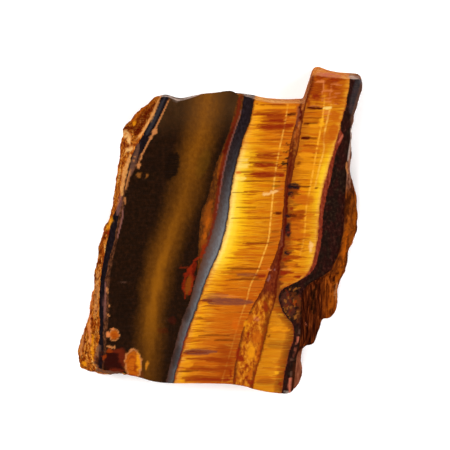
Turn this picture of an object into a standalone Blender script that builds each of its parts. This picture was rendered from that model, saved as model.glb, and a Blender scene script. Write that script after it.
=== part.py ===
"""A slab of rough tiger's eye, cut flat on two sides and left natural on its flanks.

Units are metres with +Z up. The slab lies on its sawn back with the polished face up, and its
bands of mineral run along Y. The origin is on the surface that it lies on, at the middle of the
slab's box in X and Y.
"""
from math import pi, sin

import bmesh
import bpy
from mathutils import Vector, noise

MM = 0.001

# Driving dimensions, in millimetres
THICKNESS = 16.0
EDGE_BREAK = 0.4        # height of the small bevel that polishing leaves round the face
POINT_SPACING = 1.2     # between the wall's vertices, measured round the slab
WALL_LEVELS = 11        # rings of vertices down the wall, below the bevel
BORDER_POINTS = 4       # how far one side's character reaches into the next, in vertices

# Each side of the slab, clockwise from the top left corner seen from above. "edge" is the edge of
# the polished face and "belly" is where the wall below it stands out the most, both as (x, y) in
# millimetres. Smooth curves run through the points, with a corner where two sides meet.
TOP_CUT = {
    "edge": (
        (-17.6, 41.7), (-15.5, 41.9), (-13.4, 41.3), (-11.6, 40.6), (-9.5, 41.3), (-6.0, 42.7),
        (-2.1, 43.1), (3.3, 43.8), (4.8, 42.9), (8.4, 41.4), (12.5, 40.4), (16.4, 39.9),
        (20.9, 40.0), (25.1, 39.6),
    ),
    "belly": (
        (-18.9, 39.7), (-16.3, 40.3), (-12.1, 39.2), (-7.3, 40.1), (-2.1, 40.4), (3.3, 40.9),
        (9.1, 40.3), (12.7, 39.5), (18.1, 38.9), (25.1, 39.1),
    ),
    "wall": "sawn",
}
TAB = {
    "edge": (
        (25.1, 39.6), (26.4, 43.0), (27.1, 45.4), (28.0, 48.0), (29.8, 47.8), (31.9, 47.3),
        (35.2, 47.1), (38.7, 47.2), (41.1, 47.3), (42.4, 46.5),
    ),
    "belly": (
        (25.1, 39.1), (26.3, 42.9), (27.5, 46.6), (28.1, 48.3), (29.6, 48.9), (31.7, 48.1),
        (35.3, 47.2), (41.7, 46.6), (42.6, 45.6),
    ),
    "wall": "sawn",
}
RIGHT_FLANK = {
    "edge": (
        (42.4, 46.5), (42.4, 44.6), (41.0, 39.5), (39.6, 34.7), (39.1, 30.4), (39.2, 28.8),
        (38.3, 24.3), (37.8, 19.8), (37.2, 13.1), (36.9, 7.6), (36.5, 1.5), (35.5, -4.6),
        (34.7, -7.0), (33.0, -10.8),
    ),
    "belly": (
        (42.6, 45.6), (42.1, 42.5), (40.9, 38.0), (39.5, 33.4), (39.2, 30.5), (39.8, 27.4),
        (39.5, 23.7), (39.2, 20.0), (39.5, 16.6), (40.8, 12.4), (41.2, 7.5), (41.7, 2.6),
        (40.5, -3.3), (39.0, -6.7), (38.7, -8.9), (38.2, -12.6),
    ),
    "wall": "rind",
}
BROKEN_STEP = {
    "edge": (
        (33.0, -10.8), (30.7, -12.6), (28.4, -14.1), (26.3, -15.4), (25.1, -17.2), (24.6, -19.9),
        (24.5, -26.0), (24.4, -28.5), (23.8, -33.7),
    ),
    "belly": (
        (38.2, -12.6), (37.7, -14.4), (36.6, -16.0), (35.7, -20.0), (35.5, -24.0), (34.0, -27.3),
        (33.1, -27.9), (31.4, -28.0), (30.8, -28.7), (29.8, -32.4), (28.9, -35.5), (27.5, -36.1),
        (26.2, -36.4),
    ),
    "wall": "broken",
}
HEEL = {
    "edge": ((23.8, -33.7), (22.9, -38.3), (22.4, -43.3), (22.0, -47.7)),
    "belly": ((26.2, -36.4), (25.1, -37.3), (24.8, -40.5), (25.0, -45.4), (23.9, -48.9)),
    "wall": "rind",
}
BOTTOM_CUT = {
    "edge": (
        (22.0, -47.7), (20.4, -48.9), (15.1, -48.5), (9.7, -47.4), (7.8, -46.7), (2.4, -45.9),
        (-6.1, -45.7), (-13.9, -45.7), (-19.7, -45.2), (-24.2, -43.9), (-28.4, -42.7),
    ),
    "belly": (
        (23.9, -48.9), (21.0, -49.2), (12.0, -47.8), (2.0, -46.0), (-14.0, -45.8), (-20.0, -45.5),
        (-28.2, -44.5),
    ),
    "wall": "sawn",
}
BOTTOM_CORNER = {
    "edge": ((-28.4, -42.7), (-30.2, -41.9), (-34.4, -41.4), (-36.0, -40.8)),
    "belly": (
        (-28.2, -44.5), (-30.5, -44.6), (-33.0, -44.8), (-35.0, -45.4), (-36.6, -45.0),
        (-37.9, -44.3), (-40.3, -44.2), (-42.0, -43.6),
    ),
    "wall": "rind",
}
LEFT_FLANK = {
    "edge": (
        (-36.0, -40.8), (-36.5, -39.0), (-36.8, -35.9), (-36.3, -27.6), (-36.1, -18.3),
        (-35.6, -12.2), (-34.5, -6.1), (-33.3, 0.0), (-32.3, 4.9), (-31.7, 6.7), (-30.7, 8.5),
        (-29.6, 10.7), (-28.4, 15.5), (-27.2, 20.4), (-26.4, 24.3), (-25.5, 27.9), (-24.0, 30.0),
        (-22.2, 32.5), (-21.0, 35.2), (-18.9, 40.3), (-17.6, 41.7),
    ),
    "belly": (
        (-42.0, -43.6), (-43.1, -42.5), (-43.6, -40.5), (-43.5, -38.0), (-41.8, -32.1),
        (-39.9, -25.9), (-38.6, -19.4), (-37.7, -11.9), (-36.4, -4.5), (-35.0, 0.1), (-32.9, 4.4),
        (-32.3, 6.8), (-31.9, 13.0), (-30.8, 18.8), (-29.9, 24.3), (-29.9, 29.5), (-29.5, 30.8),
        (-26.9, 32.8), (-25.7, 34.6), (-23.9, 36.3), (-20.3, 39.1), (-18.9, 39.7),
    ),
    "wall": "rind",
}
SIDES = (
    TOP_CUT, TAB, RIGHT_FLANK, BROKEN_STEP, HEEL, BOTTOM_CUT, BOTTOM_CORNER, LEFT_FLANK,
)

# How each kind of wall falls from the edge to the belly and on to the foot:
# (depth of the belly as a share of the thickness, curve of the fall, tuck below the belly)
WALL_SHAPES = {
    "sawn": (1.0, 1.0, 0.0),
    "rind": (0.62, 0.75, 0.3),
    "broken": (0.72, 1.5, 0.2),
}
TERRACES = 3            # steps down the broken wall, one for each layer that split away
TERRACE_FLATNESS = 0.75  # 0 is a plain slope, 1 has level treads

# Relief of the walls, in millimetres: how high each form stands, and how far apart they are
SAW_RIPPLE = (0.12, 1.1)
RIND_LUMPS = (0.75, 3.6)
RIND_GRAINS = (0.3, 1.4)
RIND_PITS = (0.9, 4.4)
PIT_RADIUS = 0.5        # as a share of the pits' spacing
BREAK_RIDGES = (0.8, 2.6)
BREAK_GRAINS = (0.25, 1.25)
RIDGE_STRETCH = 5.5     # how much longer the broken wall's ridges are than they are wide
RELIEF_START = 0.25     # depth at which the relief is full, as a share of the thickness
LEVEL_WANDER = (0.3, 2.9)   # how far the rings of vertices wander up and down
WANDER_SHIFT = Vector((9.0, 4.0, 2.0))  # keeps the wander apart from the lumps


def clear_scene():
    """Remove whatever the scene holds."""
    for old in list(bpy.data.objects):
        bpy.data.objects.remove(old, do_unlink=True)


def curve_point(before, start, end, after, share):
    """A point between start and end on the smooth curve through four points."""
    return 0.5 * (
        2.0 * start
        + (end - before) * share
        + (2.0 * before - 5.0 * start + 4.0 * end - after) * share ** 2
        + (3.0 * (start - end) + after - before) * share ** 3
    )


def smooth_line(points, steps=12):
    """Many points along the smooth curve through the given ones, both ends kept."""
    line = [Vector(point) for point in points]
    padded = [2.0 * line[0] - line[1]] + line + [2.0 * line[-1] - line[-2]]
    dense = []
    for index in range(len(line) - 1):
        four = padded[index:index + 4]
        dense += [curve_point(*four, step / steps) for step in range(steps)]
    return dense + [line[-1]]


def length_of(line):
    """The length of a line of points."""
    return sum((end - start).length for start, end in zip(line, line[1:]))


def spread_along(line, count):
    """Points spread evenly along a line, its last point left out."""
    spacing = length_of(line) / count
    spread = [line[0].copy()]
    run = 0.0
    for start, end in zip(line, line[1:]):
        step = (end - start).length
        while len(spread) < count and run + step >= spacing * len(spread):
            share = (spacing * len(spread) - run) / step
            spread.append(start.lerp(end, share))
        run += step
    return spread


def blurred(values, reach):
    """The values of a closed ring, each the mean of its neighbours up to a reach."""
    count = len(values)
    width = 2 * reach + 1
    return [
        sum(values[(index + offset) % count] for offset in range(-reach, reach + 1)) / width
        for index in range(count)
    ]


def ring_of_sides():
    """The edge and belly points round the slab, and how much each kind of wall holds there."""
    edge, belly, kinds = [], [], []
    for side in SIDES:
        edge_line = smooth_line(side["edge"])
        belly_line = smooth_line(side["belly"])
        mean_length = 0.5 * (length_of(edge_line) + length_of(belly_line))
        count = round(mean_length / POINT_SPACING)
        edge += spread_along(edge_line, count)
        belly += spread_along(belly_line, count)
        kinds += [side["wall"]] * count
    shares = {
        kind: blurred([1.0 if name == kind else 0.0 for name in kinds], BORDER_POINTS)
        for kind in WALL_SHAPES
    }
    return edge, belly, shares


def outward_directions(ring):
    """Level unit vectors that point out of a clockwise ring, smoothed round its corners."""
    count = len(ring)
    across = []
    for index in range(count):
        along = ring[(index + 1) % count] - ring[index - 1]
        across.append(Vector((-along.y, along.x)).normalized())
    east = blurred([direction.x for direction in across], BORDER_POINTS)
    north = blurred([direction.y for direction in across], BORDER_POINTS)
    return [Vector(pair).normalized() for pair in zip(east, north)]


def terraced(fall):
    """The fall of the broken wall turned into steps."""
    return fall - TERRACE_FLATNESS * sin(2.0 * pi * TERRACES * fall) / (2.0 * pi * TERRACES)


def wall_fall(kind, depth):
    """How far out the wall is at a depth, as a share of the way from its edge to its belly."""
    belly_depth, curve, tuck = WALL_SHAPES[kind]
    fall = min(depth / belly_depth, 1.0) ** curve
    if kind == "broken":
        fall = terraced(fall)
    if depth > belly_depth:
        fall -= tuck * ((depth - belly_depth) / (1.0 - belly_depth)) ** 2
    return fall


def bumps(place, form):
    """Rounded bumps and hollows at a place, of a form's height and spacing."""
    height, spacing = form
    return height * noise.noise(place / spacing)


def pits(place, form):
    """Round-bottomed pits scattered about, zero between them and negative inside."""
    depth, spacing = form
    nearest = noise.voronoi(place / spacing)[0][0] / PIT_RADIUS
    return -depth * max(0.0, 1.0 - nearest ** 2) ** 2


def ridges(place, form):
    """Sharp ridges, stretched along Y as the bands are."""
    height, spacing = form
    squeezed = Vector((place.x, place.y / RIDGE_STRETCH, place.z)) / spacing
    return height * (0.4 - 2.0 * abs(noise.noise(squeezed)))


def wall_relief(kind, place):
    """How far the surface stands out at a place on the wall, in millimetres."""
    if kind == "sawn":
        return bumps(place, SAW_RIPPLE)
    if kind == "rind":
        return bumps(place, RIND_LUMPS) + bumps(place, RIND_GRAINS) + pits(place, RIND_PITS)
    return ridges(place, BREAK_RIDGES) + bumps(place, BREAK_GRAINS)


def wall_point(index, depth, sides):
    """The vertex of the wall at one place round the slab and at one depth, in millimetres."""
    edge, belly, outward, shares = sides
    fall = sum(shares[kind][index] * wall_fall(kind, depth) for kind in shares)
    flat = edge[index].lerp(belly[index], fall)
    place = Vector((flat.x, flat.y, THICKNESS * (1.0 - depth)))
    below_bevel = (depth - EDGE_BREAK / THICKNESS) / (1.0 - EDGE_BREAK / THICKNESS)
    relief_share = sin(0.5 * pi * min(1.0, below_bevel / RELIEF_START))
    relief = sum(shares[kind][index] * wall_relief(kind, place) for kind in shares)
    flat += outward[index] * relief * relief_share
    wander = bumps(place + WANDER_SHIFT, LEVEL_WANDER) * sin(pi * below_bevel)
    return Vector((flat.x, flat.y, place.z + wander))


def wall_rings():
    """Every ring of vertices from the polished face down to the sawn back, in millimetres."""
    edge, belly, shares = ring_of_sides()
    outward = outward_directions(edge)
    sides = (edge, belly, outward, shares)
    inset = [place - EDGE_BREAK * away for place, away in zip(edge, outward)]
    rings = [[Vector((place.x, place.y, THICKNESS)) for place in inset]]
    bevel = EDGE_BREAK / THICKNESS
    for level in range(WALL_LEVELS + 1):
        depth = bevel + (1.0 - bevel) * level / WALL_LEVELS
        rings.append([wall_point(index, depth, sides) for index in range(len(edge))])
    return rings


def centred(rings):
    """The rings moved so that the middle of their box is over the origin."""
    points = [point for ring in rings for point in ring]
    middle = Vector((
        0.5 * (min(point.x for point in points) + max(point.x for point in points)),
        0.5 * (min(point.y for point in points) + max(point.y for point in points)),
        0.0,
    ))
    return [[point - middle for point in ring] for ring in rings]


def stone_mesh(rings):
    """One closed mesh: the walls between the rings, the polished face and the sawn back."""
    bm = bmesh.new()
    loops = [[bm.verts.new(point * MM) for point in ring] for ring in rings]
    for upper, lower in zip(loops, loops[1:]):
        for index in range(len(upper)):
            bm.faces.new((upper[index - 1], upper[index], lower[index], lower[index - 1]))
    bm.faces.new(reversed(loops[0]))
    bm.faces.new(loops[-1])
    bmesh.ops.recalc_face_normals(bm, faces=bm.faces)
    bmesh.ops.triangulate(bm, faces=bm.faces)
    mesh = bpy.data.meshes.new("stone")
    bm.to_mesh(mesh)
    bm.free()
    mesh.shade_smooth()
    mesh.set_sharp_from_angle(angle=0.6)
    return mesh


def stone_material():
    """Polished golden-brown quartz."""
    material = bpy.data.materials.new("tigers_eye")
    material.use_nodes = True
    shader = material.node_tree.nodes["Principled BSDF"]
    shader.inputs["Base Color"].default_value = (0.42, 0.19, 0.03, 1.0)
    shader.inputs["Roughness"].default_value = 0.25
    shader.inputs["Metallic"].default_value = 0.0
    return material


def make_stone():
    """The slab, in the scene."""
    mesh = stone_mesh(centred(wall_rings()))
    mesh.materials.append(stone_material())
    bpy.context.scene.collection.objects.link(bpy.data.objects.new("stone", mesh))


clear_scene()
make_stone()
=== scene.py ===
"""The looks of a slab of rough tiger's eye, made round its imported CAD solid.

One piece stands for the CAD stone. Bands of mineral run along Y: their edges are curves in the
material, and the marks inside them are brushed onto the mesh's vertices. Lengths are in
millimetres until the mesh is made. A "seen" place is an (x, y) on the plane of the polished
face, and the bands lean with the camera's tilt, so the walls continue what the face shows.
"""

from functools import partialmethod
from math import cos, pi, radians, sin, tan

import bmesh
import bpy
import numpy as np
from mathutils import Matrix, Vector, geometry, noise


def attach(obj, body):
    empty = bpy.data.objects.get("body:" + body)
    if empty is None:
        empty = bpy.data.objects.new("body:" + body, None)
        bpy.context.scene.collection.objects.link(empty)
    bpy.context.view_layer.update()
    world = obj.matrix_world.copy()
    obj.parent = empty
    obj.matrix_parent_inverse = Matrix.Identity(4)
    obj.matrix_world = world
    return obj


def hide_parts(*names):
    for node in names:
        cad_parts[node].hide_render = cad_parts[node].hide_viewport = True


MM = 0.001

# The slab and its mesh, in millimetres
THICKNESS = 16.0
WALL_CUTS = 2            # how many times each edge of the CAD wall is cut
FACE_GRID = (0.38, 0.3)  # spacing of the vertices of the polished face, in X and Y
BACK_GRID = (1.4, 1.4)   # and the same for the back
WALL_EASING = 3          # rounds of smoothing on the cut walls
LOOP_EASING = 2          # rounds of smoothing on the rim and the foot
SAME_PLACE = 0.002       # vertices closer than this are one
FLAT_GAP = 0.02          # CAD faces this close to the top or the bottom are flat ones
LEVEL_GAP = 0.01         # the same for the finished mesh
SHARP_ANGLE = radians(50.0)
RELIEF_START = 0.35      # depth below the face where the walls' relief starts
RELIEF_RISE = 0.8        # and how far it takes to reach its full height
RIM_MARGIN = 0.35        # gap between the grids and the edge of their face

# Where the kinds of wall change, each as the x or the y where a change starts and ends
SOUTH_RIND_END = (-29.0, -26.5)
NORTH_RIND_END = (-18.4, -17.2)
EAST_START = (22.2, 23.2)
SHELL_START = (31.0, 32.0)
HEEL_TOP = (-36.8, -35.8)
STEPS_TOP = (-13.5, -11.0)
SHELL_TOP = (46.2, 47.2)

# How far from a mark's middle its edge starts to fade and is gone, in shares of its half width
LINE_FADE = (0.55, 1.2)
BLOB_FADE = (0.65, 1.15)
RING_FADE = (0.2, 1.1)
EDGE_FADE = (0.1, 0.6)   # for marks kept between two band edges, in millimetres

# The camera looks down from 10 degrees off the vertical
CAMERA_TILT = radians(10.0)
CAMERA_LENS = 300.0
CAMERA_SENSOR = 36.0
CAMERA_DISTANCE = 1125.0
CAMERA_TARGET = (2.0, 3.25, THICKNESS)
LEAN = tan(CAMERA_TILT)  # how far a seen place moves in Y for each millimetre of depth

CURVE_SPAN = 55.0        # the curves of the band edges cover this far each way from the origin
# The map for baked pictures, in shares of the picture and in shares to each millimetre
MAP_GAP = 0.004
FACE_SCALE = 0.0084
BACK_SCALE = 0.0028
BACK_START = 0.75
STRIP_SCALE = 0.0044
STRIP_START = 0.84
STRIP_STEP = 0.08

FACE_SHADE = 0.69        # the strong light brings the stone's colours back up to full
WALL_SHADE = 0.72
QUARTZ_IOR = 1.54
BUMP_STRENGTH = 0.35
SOFTBOX_SIZE = 0.8       # in metres

# Colours, as sRGB from 0 to 255
COLOURS = {
    "umber": (116, 50, 4),
    "russet": (146, 52, 4),
    "rust": (188, 90, 10),
    "brick": (134, 32, 6),
    "maroon": (80, 12, 2),
    "plum": (124, 62, 42),
    "ink": (20, 10, 18),
    "night": (22, 10, 4),
    "bark": (52, 20, 6),
    "chestnut": (100, 46, 14),
    "ember": (156, 74, 10),
    "honey": (248, 172, 26),
    "lemon": (250, 208, 44),
    # A whitish yellow for rows of painted chatoyant sheen
    "straw_sheen": (255, 226, 128),
    "cream": (240, 184, 110),
    "sand": (226, 156, 86),
    "peach": (220, 126, 66),
    "pink": (196, 104, 76),
    "amber": (230, 142, 16),
    "flame": (212, 96, 8),
    "ochre": (198, 120, 26),
    "wine": (106, 32, 10),
    "garnet": (46, 8, 4),
    "dusk": (146, 92, 82),
    "fleck": (158, 92, 32),
    "olive": (118, 78, 8),
    "tan": (196, 122, 66),
    "slate": (92, 88, 92),
    "mauve": (104, 68, 52),
    # A pale grey for painted highlights where light catches the rims
    "rim_highlight": (190, 164, 150),
}

# Edges of the bands on the polished face, each as (y, x) points in millimetres, north to south
NAVY_LEFT = (
    (43, -16.9), (39.6, -18), (36.6, -19.3), (33.6, -21), (30.6, -22.6), (28.1, -24), (26, -25.1),
    (18, -28.4), (9.3, -31), (0.2, -33.2), (-9, -35.2), (-18, -35.8), (-34, -36.1), (-45, -37.5),
)
NAVY_RIGHT = (
    (43, -14.6), (39.6, -15.8), (36.6, -17.2), (33.6, -18.6), (30.6, -20.2), (28.1, -21.3),
    (23, -24.2), (16, -28.2), (9.3, -29.3), (3.3, -30.3), (-2.8, -31.6), (-9, -33.2),
    (-15.1, -34.2), (-24.3, -34.5), (-31, -34.8), (-36, -34.7), (-45, -36),
)
SECOND_LINE_RIGHT = (
    (43, -14.2), (39, -15.5), (36.6, -16.9), (34.2, -17.8), (32.1, -18.4), (29, -20.2),
    (24.5, -22.6), (20.9, -24.6), (16.9, -27), (10.9, -28.2), (4.8, -28.9), (0.2, -29.9),
    (-5.9, -31.4), (-12, -32.6), (-18.1, -33), (-24.3, -33.1), (-31, -33.8), (-36, -34),
    (-45, -35.5),
)
RED_LEFT = (
    (43, 6.1), (36.6, 4.5), (32.1, 3.3), (29, 2.3), (26, 1.1), (23.5, 0.1), (20, -1.1),
    (13.9, -2.5), (10.9, -3.4), (7.8, -4.7), (1.7, -5.7), (-4.4, -6), (-9, -6.2), (-12, -6.4),
    (-20, -8.6), (-45, -15.8),
)
HAWK_LEFT = (
    (42, 7.5), (35.1, 6.3), (32.1, 5.1), (26, 2.9), (20, 1.3), (10.9, -0.2), (1.7, -2.5),
    (-7.4, -4.9), (-13.5, -6.9), (-19.7, -8.5), (-25.8, -10.9), (-32, -12.6), (-38.1, -14.2),
    (-45, -15.8),
)
HAWK_RIGHT = (
    (42, 10.9), (35.1, 9.5), (29, 7.4), (20, 5), (13.9, 3.8), (7.8, 3.1), (1.7, 2.1), (-4.4, 0.3),
    (-10.5, -2.3), (-16.6, -4.6), (-22.7, -6.7), (-28.9, -9), (-35.1, -10.8), (-45, -13.6),
)
SEAM_LEFT = (
    (42, 24.9), (35.1, 23.3), (29, 21.7), (23, 20.7), (16.9, 20), (7.8, 19.4), (1.7, 18.9),
    (-4.4, 17.6), (-10.5, 15.3), (-16.6, 13.1), (-22.7, 9.7), (-28.9, 7.4), (-38.1, 5.3),
    (-46, 4.4),
)
SEAM_RIGHT = (
    (50, 28.4), (39.9, 26.2), (32.1, 24.8), (26, 23.8), (20, 22.5), (13.9, 21.5), (7.8, 20.5),
    (-1.3, 20), (-7.4, 18.9), (-13.5, 17.9), (-19.7, 17.3), (-25.8, 15.4), (-32, 14.1),
    (-38.1, 12.4), (-47, 10.2),
)
GOLD_RIGHT = (
    (50, 39.6), (44.1, 39), (38.1, 37.7), (32.1, 36.2), (26, 34.6), (20, 32.9), (13.9, 31.3),
    (7.8, 30.4), (-1.3, 29.7), (-7.4, 28.6), (-10.5, 27.4), (-12.6, 25.8), (-14.2, 23.4),
    (-16, 19.8), (-17.5, 18.4), (-19.1, 18), (-21.2, 18.5), (-24.3, 20), (-27.4, 22.4),
    (-30.4, 22.7), (-35.1, 21.5), (-41.2, 20.1), (-49, 19),
)
RED_BROWN_RIGHT = (
    (50, 39.7), (38.1, 37.8), (32.1, 36.5), (30.5, 37.3), (28.5, 36.6), (26, 35.4), (20, 34.2),
    (13.9, 32.8), (7.8, 31.6), (-1.3, 30.9), (-7.4, 29.7), (-10.5, 28.5), (-12.6, 26.2),
    *((y, x + 0.1) for y, x in GOLD_RIGHT if y < -14),
)
# Thin pale lines of reflected light along the bands
FIRST_SHEEN = (
    (41, 20.9), (36, 20.2), (32.1, 19.5), (26, 18.2), (18, 16.9), (12, 16.3), (4, 15.6), (-1.3, 15),
    (-5.9, 13.5), (-10.5, 11.9), (-15.1, 9.7), (-19.7, 8.5), (-25.8, 6.4), (-35.7, 3.6), (-45, 1),
)
SECOND_SHEEN = (
    (48, 31.9), (38.1, 31.4), (32.1, 30.5), (26, 29.4), (20, 28.4), (13, 27.2), (8, 26.3),
    (0.2, 25.8), (-8, 24),
)
THIRD_SHEEN = (
    (45, 34.8), (37, 33), (30, 31.6), (26, 31.5), (21.5, 30.4), (12, 28.4),
)
BROWN_GLOW = (
    (43, -3), (34, -4.6), (29, -5.8), (23, -7.8), (16, -9.2), (10.9, -10.6), (5, -12.6),
    (0.2, -14.4), (-5, -16.2), (-10.5, -17.8), (-15, -18.7), (-20, -19.4), (-25, -20.3),
    (-32, -20.6), (-43, -21.6),
)


def linear(colour):
    """An sRGB colour from 0 to 255 as a linear RGBA tuple."""
    parts = np.array(colour, float) / 255.0
    low = parts / 12.92
    high = ((parts + 0.055) / 1.055) ** 2.4
    return (*np.where(parts <= 0.04045, low, high).tolist(), 1.0)


def share_of_span(place):
    """An x or a y in millimetres as its share of the curves' span."""
    return (place + CURVE_SPAN) / (2.0 * CURVE_SPAN)


def smooth_step(low, high, values):
    """0 below low, 1 above high and a smooth rise between them."""
    share = np.clip((values - low) / (high - low), 0.0, 1.0)
    return share * share * (3.0 - 2.0 * share)


# ---------------------------------------------------------------- the mesh

def solid_walls(node):
    """The walls of the CAD solid as a bmesh in millimetres, without its face and its back."""
    bm = bmesh.new()
    bm.from_mesh(node.data)
    bmesh.ops.scale(bm, vec=(1.0 / MM, 1.0 / MM, 1.0 / MM), verts=bm.verts)
    bmesh.ops.remove_doubles(bm, verts=bm.verts, dist=SAME_PLACE)
    flat = [
        face for face in bm.faces
        if min(vert.co.z for vert in face.verts) > THICKNESS - FLAT_GAP
        or max(vert.co.z for vert in face.verts) < FLAT_GAP
    ]
    bmesh.ops.delete(bm, geom=flat, context="FACES")
    return bm


def refined(bm):
    """Cut the walls finer and round off the facets, with the rim and the foot kept."""
    bmesh.ops.subdivide_edges(bm, edges=bm.edges, cuts=WALL_CUTS, use_grid_fill=True)
    inner = [vert for vert in bm.verts if not vert.is_boundary]
    for _ in range(WALL_EASING):
        bmesh.ops.smooth_vert(
            bm, verts=inner, factor=0.5, use_axis_x=True, use_axis_y=True, use_axis_z=True,
        )
    return bm


def border_loop(bm, top):
    """The vertices of the rim, or of the foot, in order round the slab."""
    half = 0.5 * THICKNESS
    edges = [edge for edge in bm.edges if edge.is_boundary]
    edges = [edge for edge in edges if (edge.verts[0].co.z > half) == top]
    links = {}
    for edge in edges:
        for vert in edge.verts:
            links.setdefault(vert, []).append(edge.other_vert(vert))
    start = edges[0].verts[0]
    loop, before, here = [start], None, start
    while True:
        ahead = next(vert for vert in links[here] if vert is not before)
        if ahead is start:
            return loop
        loop.append(ahead)
        before, here = here, ahead


def rounded_loop(loop):
    """Ease the straight runs between the CAD's vertices round a loop."""
    for _ in range(LOOP_EASING):
        eased = [
            0.5 * vert.co + 0.25 * (loop[index - 1].co + loop[(index + 1) % len(loop)].co)
            for index, vert in enumerate(loop)
        ]
        for vert, place in zip(loop, eased):
            vert.co = place


def inside(outline, points):
    """Whether each point is inside a closed outline."""
    crossed = np.zeros(len(points), bool)
    x, y = points[:, 0], points[:, 1]
    for (x0, y0), (x1, y1) in zip(outline, np.roll(outline, -1, axis=0)):
        if y0 == y1:
            continue
        spans = (y0 > y) != (y1 > y)
        crossed ^= spans & (x < (x1 - x0) * (y - y0) / (y1 - y0) + x0)
    return crossed


def far_from(outline, points, margin):
    """Whether each point is further than a margin from every vertex of an outline."""
    clear = np.ones(len(points), bool)
    for corner in outline:
        clear &= ((points - corner) ** 2).sum(axis=1) > margin * margin
    return clear


def filled(outline, grid):
    """Points and faces that fill an outline: an even grid, and triangles out to the edge.

    The faces number the outline's own points first, and then the extra points given back.
    """
    step = np.array(grid)
    low = outline.min(axis=0) - step
    columns, rows = (np.ceil((outline.max(axis=0) + step - low) / step)).astype(int) + 1
    across, up = np.meshgrid(np.arange(columns), np.arange(rows), indexing="ij")
    corners = low + np.stack([across.ravel(), up.ravel()], axis=1) * step
    usable = inside(outline, corners)
    usable[usable] = far_from(outline, corners[usable], RIM_MARGIN + 0.5 * step.max())
    usable = usable.reshape(columns, rows)
    cells = usable[:-1, :-1] & usable[1:, :-1] & usable[:-1, 1:] & usable[1:, 1:]
    kept = np.zeros((columns, rows), bool)
    for right, over in ((0, 0), (1, 0), (0, 1), (1, 1)):
        kept[right:columns - 1 + right, over:rows - 1 + over] |= cells
    number = np.full((columns, rows), -1)
    number[kept] = np.arange(kept.sum()) + len(outline)
    extra = corners.reshape(columns, rows, 2)[kept]
    west, south = np.nonzero(cells)
    faces = np.stack([
        number[west, south], number[west + 1, south],
        number[west + 1, south + 1], number[west, south + 1],
    ], axis=1).tolist()
    return extra, faces + border_faces(outline, extra, cells, number, low, step)


def border_faces(outline, extra, cells, number, low, step):
    """Triangles between the edge of the grid and the outline."""
    padded = np.pad(cells, 1)
    west, south = np.nonzero(cells)
    sides = []
    for east, north, first, last in (
        (0, -1, (0, 0), (1, 0)), (1, 0, (1, 0), (1, 1)),
        (0, 1, (1, 1), (0, 1)), (-1, 0, (0, 1), (0, 0)),
    ):
        open_side = ~padded[west + 1 + east, south + 1 + north]
        a = number[west[open_side] + first[0], south[open_side] + first[1]]
        b = number[west[open_side] + last[0], south[open_side] + last[1]]
        sides += list(zip(a.tolist(), b.tolist()))
    rim_of_grid = sorted({end for side in sides for end in side})
    place_of = {vertex: index + len(outline) for index, vertex in enumerate(rim_of_grid)}
    points = [Vector(place) for place in outline]
    points += [Vector(extra[vertex - len(outline)]) for vertex in rim_of_grid]
    edges = [(index, (index + 1) % len(outline)) for index in range(len(outline))]
    edges += [(place_of[a], place_of[b]) for a, b in sides]
    result = geometry.delaunay_2d_cdt(points, edges, [], 0, 1e-6)
    names = list(range(len(outline))) + rim_of_grid
    places, triangles, sources = result[0], result[2], result[3]
    middles = np.array([
        sum((places[corner] for corner in triangle), Vector((0.0, 0.0))) / 3.0
        for triangle in triangles
    ])
    cell_of = np.floor((middles - low) / step).astype(int)
    cell_of = np.clip(cell_of, 0, np.array(cells.shape) - 1)
    wanted = inside(outline, middles) & ~cells[cell_of[:, 0], cell_of[:, 1]]
    return [
        [names[sources[corner][0]] for corner in triangle]
        for triangle, keep in zip(triangles, wanted) if keep
    ]


def wall_masks(places):
    """How much each kind of wall holds at each place: rind, shell, broken, heel and sawn."""
    x, y = places[:, 0], places[:, 1]
    rind = 1.0 - np.where(y < 0.0, smooth_step(*SOUTH_RIND_END, x), smooth_step(*NORTH_RIND_END, x))
    east = smooth_step(*EAST_START, x)
    past_heel, past_steps = smooth_step(*HEEL_TOP, y), smooth_step(*STEPS_TOP, y)
    broken = east * past_heel * (1.0 - past_steps)
    heel = east * (1.0 - past_heel)
    shell = smooth_step(*SHELL_START, x) * past_steps * (1.0 - smooth_step(*SHELL_TOP, y))
    sawn = np.clip(1.0 - rind - broken - heel - shell, 0.0, 1.0)
    return {"rind": rind, "broken": broken, "heel": heel, "shell": shell, "sawn": sawn}


def pit_depth(place, spacing, radius):
    """How deep a place is in a field of round pits, from 0 outside them to 1."""
    nearest = noise.voronoi(place / spacing)[0][0] / radius
    return max(0.0, 1.0 - nearest ** 2)


def relief_at(place, shares):
    """How far the wall stands out at a place in millimetres, and how hollow it is."""
    out, hollow = 0.0, 0.0
    if shares["rind"] > 0.01:
        pit = pit_depth(place, spacing=1.15, radius=0.42)
        grain = 0.22 * noise.noise(place / 0.9) + 0.3 * noise.noise(place / 2.2)
        out += shares["rind"] * (grain - 0.32 * pit)
        hollow += shares["rind"] * pit
    if shares["shell"] > 0.01:
        out += shares["shell"] * (0.3 * noise.noise(place / 3.4) + 0.05 * noise.noise(place))
    if shares["broken"] > 0.01:
        along = Vector((place.x, place.y / 7.0, place.z))
        ridge = 0.5 - abs(noise.noise(along / 1.1)) - 0.5 * abs(noise.noise(along / 0.6))
        out += shares["broken"] * 0.42 * ridge
        hollow += shares["broken"] * max(0.0, -1.4 * ridge)
    plain = shares["sawn"] + shares["heel"]
    if plain > 0.01:
        out += plain * 0.09 * noise.noise(place / 0.8)
    return out, hollow


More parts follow.
